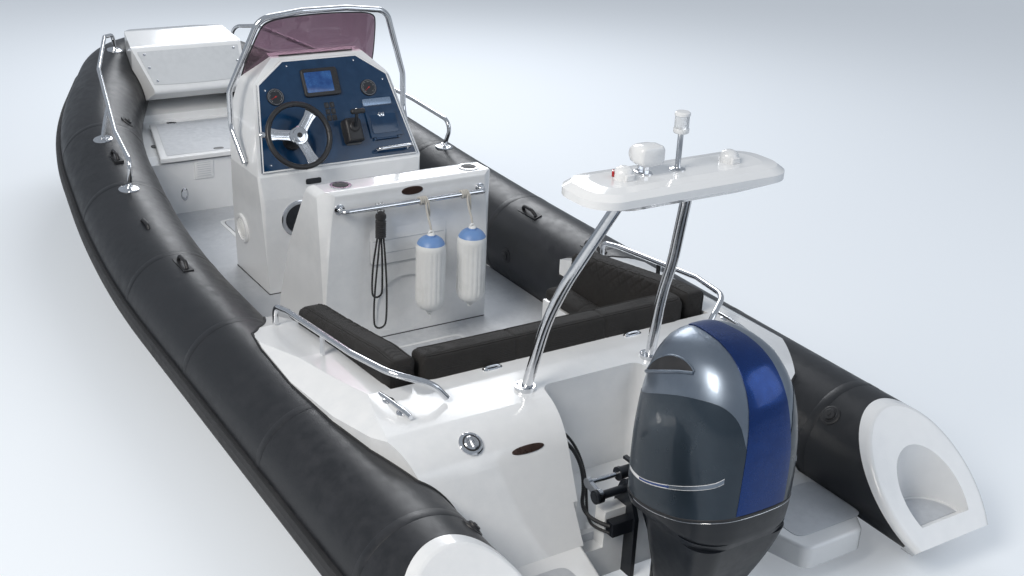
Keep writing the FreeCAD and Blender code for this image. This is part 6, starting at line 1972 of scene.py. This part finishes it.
    def console(self) -> None:
        """Speaker, round hatch, slot and latched hatch of the console."""
        console = Seat("console")
        spot, way = console.hit((2.79, 0.9, 0.433), (0, -1, 0))
        face = Vector((0, 1, 0))
        ring = Forms.lathe([(0, 0), (0.082, 0), (0.082, 0.006), (0.076, 0.012), (0.062, 0.013), (0.06, 0.008),
            (0, 0.008)], spot - face * 0.002, way, 56)
        self.piece("speaker_ring", ring, "lamp_white")
        grille = [Forms.ring(spot + way * 0.0068, way, radius, 0.0022, 44, 8) for radius in (0.012, 0.024,
            0.036, 0.048)]
        for turn in range(8):
            angle = math.pi * turn / 8
            frame_here = Forms.turn(way, spot + way * 0.0068)
            grille.append(Forms.rod([frame_here @ Vector((0.056 * math.cos(angle) * s, 0.056 * math.sin(angle) * s,
                0)) for s in (-1, 1)], 0.0015, smooth=False))
        self.piece("speaker_grille", grille, "fender_vinyl")
        spot, way = console.hit((2.3, 0.249, 0.562), (1, 0, 0))
        foot = spot - AFT * 0.002
        rim = Forms.lathe([(0, 0), (0.1, 0), (0.1, 0.005), (0.092, 0.01), (0.08, 0.01), (0.078, 0.004),
            (0, 0.004)], foot, way, 60)
        self.piece("console_port_hole_rim", rim, "stainless")
        cone = Forms.lathe([(0, 0.0042), (0.077, 0.0042), (0.072, 0.0065), (0.034, 0.0045), (0.03, 0.0075),
            (0.012, 0.01), (0, 0.0105)], foot, way, 52)
        self.piece("console_port_hole_cone", cone, "motor_black", smooth=50.0)
        spot, way = console.hit((2.3, 0.166, 0.752), (1, 0, 0))
        slot = Forms.slab(Forms.oval(0.085, 0.03, 6, 36), 0.004, Forms.turn(way, spot - way * 0.0005), 0.0015)
        self.piece("console_slot", slot, "motor_black")
        spot, way = console.hit((2.3, -0.2, 0.42), (1, 0, 0))
        lay = Forms.turn(way, spot - way * 0.0005)
        door = Forms.slab(Forms.oval(0.36, 0.3, 10, 56), 0.006, lay, 0.002)
        seal = Forms.slab(Forms.oval(0.368, 0.308, 10, 56), 0.003, lay, 0.0005)
        self.piece("console_hatch", door, "white_moulding")
        self.piece("console_hatch_gap", seal, "strake_rubber")
        latches = [Forms.disc(lay @ Vector((dx, 0.0, 0.0058)), way, 0.016, 0.003, 0.001, 28) for dx in (-0.15, 0.15)]
        self.piece("console_hatch_latches", latches, "stainless")

    def build(self) -> None:
        """Make every fitting."""
        self.stern()
        self.sole()
        self.bow()
        self.pod()
        self.console()


@dataclass
class Fenders(Assembly):
    """Two fluted fenders on twisted lanyards, and the rope hank's lashing."""

    x: float = 1.594
    places: tuple = (-0.038, -0.262)
    top: float = 0.748
    foot: float = 0.312
    radius: float = 0.071
    dome: float = 0.064
    flutes: int = 18
    rail: tuple = (1.672, 0.87)
    rail_radius: float = 0.0125

    def profile(self, place: float, way: int) -> list:
        """Half an outline from a tab's root to the barrel, as (radius, height)."""
        rows = [(0.0, place), (0.017, place + way * 0.001), (0.02, place + way * 0.008)]
        for step in range(11):
            angle = math.pi / 2 * step / 10
            rows.append((0.02 + (self.radius - 0.02) * math.sin(angle),
                place + way * (0.01 + self.dome * (1 - math.cos(angle)))))
        return rows

    def flute(self, form: Form) -> None:
        """Press fine upright flutes into a barrel."""
        low, high = self.foot + 0.07, self.top - 0.09
        for vert in form.verts:
            angle = math.atan2(vert.co.y, vert.co.x)
            fade = min(1.0, max(0.0, min(vert.co.z - low, high - vert.co.z) / 0.02))
            deep = 0.003 * fade * (1 - abs(math.sin(self.flutes / 2 * angle)) ** 0.6)
            radius = math.hypot(vert.co.x, vert.co.y)
            if radius > 0.03:
                vert.co.x *= 1 - deep / radius
                vert.co.y *= 1 - deep / radius

    def build(self) -> None:
        """Make both fenders and their lanyards."""
        bodies, crown_shades, tabs, ropes = [], [], [], []
        foot, top = self.foot + 0.022, self.top - 0.022
        lower, upper = self.profile(foot, 1), self.profile(top, -1)
        split = top - 0.01 - self.dome
        shaft = [(self.radius, foot + 0.074 + (split - foot - 0.08) * step / 6) for step in range(1, 7)]
        for y in self.places:
            barrel = Forms.lathe(lower + shaft + list(reversed(upper)), (0, 0, 0), steps=self.flutes * 6)
            self.flute(barrel)
            bmesh.ops.translate(barrel, verts=barrel.verts, vec=(self.x, y, 0))
            bodies.append(barrel)
            # Painted shade: a bluish skin over each top dome paints the shade on the white fender's top.
            cover = [(radius + 0.0007, height) for radius, height in upper if height > top - 0.046 and radius > 0]
            crown = [(0.0, cover[-1][1])] + list(reversed(cover)) + [(0.0, top + 0.0002)]
            crown_shades.append(Forms.lathe(crown, (self.x, y, 0), steps=48))
            for place, way in ((top, 1), (foot, -1)):
                lay = shifted((self.x, y, place + way * 0.006)) @ rotated(math.pi / 2, 4, "Y")
                tabs.append(Forms.ring(lay.translation, (1, 0, 0), 0.0105, 0.0055, 32, 12))
                tabs.append(Forms.lathe([(0, 0), (0.019, 0), (0.016, 0.006), (0.009, 0.01), (0, 0.01)],
                    (self.x, y, place - way * 0.002), (0, 0, way), 32))
            ropes += self.lanyard(y, top + 0.012)
        self.piece("fender_bodies", bodies, "fender_vinyl", smooth=60.0, replaces=("fenders",))
        self.piece("fender_crowns", crown_shades, "fender_blue", smooth=50.0)
        self.piece("fender_tabs", tabs, "fender_vinyl", smooth=50.0)
        self.piece("fender_lanyards", ropes, "fender_rope", smooth=60.0, replaces=("fender_ropes",))
        self.hank()

    def lanyard(self, y: float, eye: float) -> list:
        """A rope from a fender's eye up to close turns round the rail."""
        x, z = self.rail
        thick = 0.0052
        reach = self.rail_radius + thick

        def strands(angle: float, along: float) -> float:
            """The lanyard's radius."""
            return thick * (0.82 + 0.18 * abs(math.cos(1.5 * (angle - math.tau * along / 0.018))))

        points = [(self.x, y, eye - 0.008), (self.x, y, eye + 0.02), (self.x + 0.03, y, eye + 0.06),
            (x - reach - 0.002, y, z - 0.014)]
        points += [(x - reach * math.cos(turn), y + 0.0016 * turn - 0.012,
            z + reach * math.sin(turn)) for turn in (math.pi / 4 * step for step in range(0, 30))]
        tail = [(x - reach, y - 0.016, z + 0.004), (x - reach - 0.006, y - 0.018, z - 0.04),
            (x - reach - 0.004, y - 0.02, z - 0.075)]
        return [Route(points, 10).tube(strands, 12), Route(tail, 12).tube(strands, 12)]

    def hank(self) -> None:
        """The hank's round knob, its close lashing and its steel hooks."""
        low, high = box_of("rope_hank")
        x, y = (low.x + high.x) / 2, (low.y + high.y) / 2
        body = Route([(x, y, low.z + 0.001), (x, y, low.z + 0.03), (x, y, low.z + 0.06), (x, y, low.z + 0.085)], 40)

        def lashing(angle: float, along: float) -> float:
            """The lashed handle's radius."""
            return 0.0235 + 0.0022 * math.cos(math.tau * along / 0.0095 + angle)

        knob = bmesh.new()
        bmesh.ops.create_uvsphere(knob, u_segments=36, v_segments=20, radius=0.0258)
        bmesh.ops.translate(knob, verts=knob.verts, vec=(x, y, low.z + 0.104))
        self.piece("hank_lashing", Forms.join([body.tube(lashing, 26), knob]), "black_rope", smooth=60.0,
            replaces=("rope_hank",))
        hooks = []
        for shift in (-0.017, 0.0, 0.017):
            hooks.append(Forms.rod([(x, y + shift, low.z + 0.118), (x + 0.002, y + shift, low.z + 0.15),
                (x + 0.004, y + shift, high.z - 0.004), (x + 0.014, y + shift, high.z - 0.003),
                (x + 0.022, y + shift, high.z - 0.012)], 0.0028))
        self.piece("hank_hooks", hooks, "stainless", smooth=60.0)


@dataclass
class Mast(Assembly):
    """Lamp housings and lenses, the all-round pole, horn and foot bolts."""

    def build(self) -> None:
        """Make the mast's dress."""
        bolts = []
        for side in (1, -1):
            for angle in range(45, 405, 90):
                turn = math.radians(angle)
                bolts.append(Forms.lathe([(0, 0), (0.006, 0), (0.0055, 0.003), (0.003, 0.0042), (0, 0.0042)],
                    (0.25 + 0.029 * math.cos(turn), side * 0.296 + 0.029 * math.sin(turn), 0.6335), (0, 0, 1), 16))
        self.piece("mast_foot_bolts", bolts, "stainless")
        for y, slot, word in ((0.225, "lens_red", "port"), (-0.225, "lens_green", "starboard")):
            side = 1 if y > 0 else -1
            foot = shifted((-0.1525, y, 1.5575))
            dome = Forms.lathe([(0, 0), (0.033, 0), (0.0335, 0.016), (0.0315, 0.026), (0.025, 0.035),
                (0.013, 0.0405), (0, 0.0415)], foot.translation, steps=44)
            block = Forms.box((0.036, 0.034, 0.021), shifted((-0.174, y, 1.568)), 0.003)
            self.piece(f"side_light_{word}", [dome, block], "lamp_white", smooth=50.0,
                replaces=("mast_lamps",) if side > 0 else ())
            way = Vector((0.62, side * 0.78, 0)).normalized()
            lens = Forms.slab(Forms.oval(0.034, 0.02, 4, 32), 0.0085, Forms.turn(way,
                Vector((-0.1525, y, 1.5725)) + way * 0.03), 0.0018)
            self.piece(f"side_lens_{word}", lens, slot)
        pole = Forms.lathe([(0, 0), (0.027, 0), (0.027, 0.004), (0.012, 0.008), (0.0095, 0.012), (0.0095, 0.128),
            (0, 0.128)], (-0.1525, 0.0, 1.5575), steps=36)
        self.piece("all_round_pole", pole, "stainless")
        head = Forms.join([Forms.lathe([(0, 0), (0.0235, 0), (0.0265, 0.004), (0.0265, 0.016), (0, 0.016)],
            (-0.1525, 0.0, 1.684), steps=40), Forms.lathe([(0, 0), (0.0265, 0), (0.0265, 0.008), (0.022, 0.0125),
            (0, 0.0135)], (-0.1525, 0.0, 1.744), steps=40)])
        self.piece("all_round_head", head, "lamp_white")
        glass = Forms.lathe([(0, 0), (0.024, 0), (0.0245, 0.004), (0.0245, 0.042), (0.024, 0.046), (0, 0.046)],
            (-0.1525, 0.0, 1.699), steps=40)
        self.piece("all_round_lens", glass, "lens_clear")
        self.horn()

    def horn(self) -> None:
        """A white tapered housing on a steel bracket and an oval base, beside the port side light."""
        y, z = 0.13, 1.622
        base = Forms.slab(Forms.oval(0.072, 0.052, 2.4, 40), 0.005, shifted((-0.1325, y, 1.5575)), 0.002)
        self.piece("horn_base", base, "stainless")
        posts = [Forms.box((0.006, 0.02, 0.036), shifted((-0.1325 + dx, y, 1.577)), 0.0015) for dx in (-0.016,
            0.016)]
        self.piece("horn_bracket", posts, "stainless")
        house = Forms.stack([(0.0, 0.03, -0.024, 0.04, 4), (0.004, 0.036, -0.029, 0.046, 4),
            (0.012, 0.039, -0.031, 0.05, 4), (0.045, 0.039, -0.031, 0.051, 4), (0.075, 0.033, -0.029, 0.044, 3.6),
            (0.098, 0.02, -0.024, 0.031, 3), (0.108, 0.008, -0.016, 0.016, 2.5)], 56)
        Forms.place(house, shifted((-0.186, y, z)) @ rotated(math.pi / 2, 4, "Y") @ rotated(math.pi, 4, "Z"))
        self.piece("horn_housing", house, "lamp_white", smooth=50.0)
def main() -> None:
    """Build the stage and every piece in order."""
    logging.basicConfig(level=logging.INFO, format="%(relativeCreated)d %(message)s")
    cad_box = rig.bounds()
    Studio().build()
    shop = Workshop()
    Cords(shop).build()
    shop.dress_nodes()
    for assembly in (Cushions, Seals, Tubes, Deck, Fenders, Mast, Helm, Outboard):
        assembly(shop).build()
    visual_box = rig.bounds()
    with open("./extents.json", "w") as record:
        json.dump({"cad": [list(corner) for corner in cad_box], "visual": [list(c) for c in visual_box]}, record)


if __name__ == "__main__":
    main()
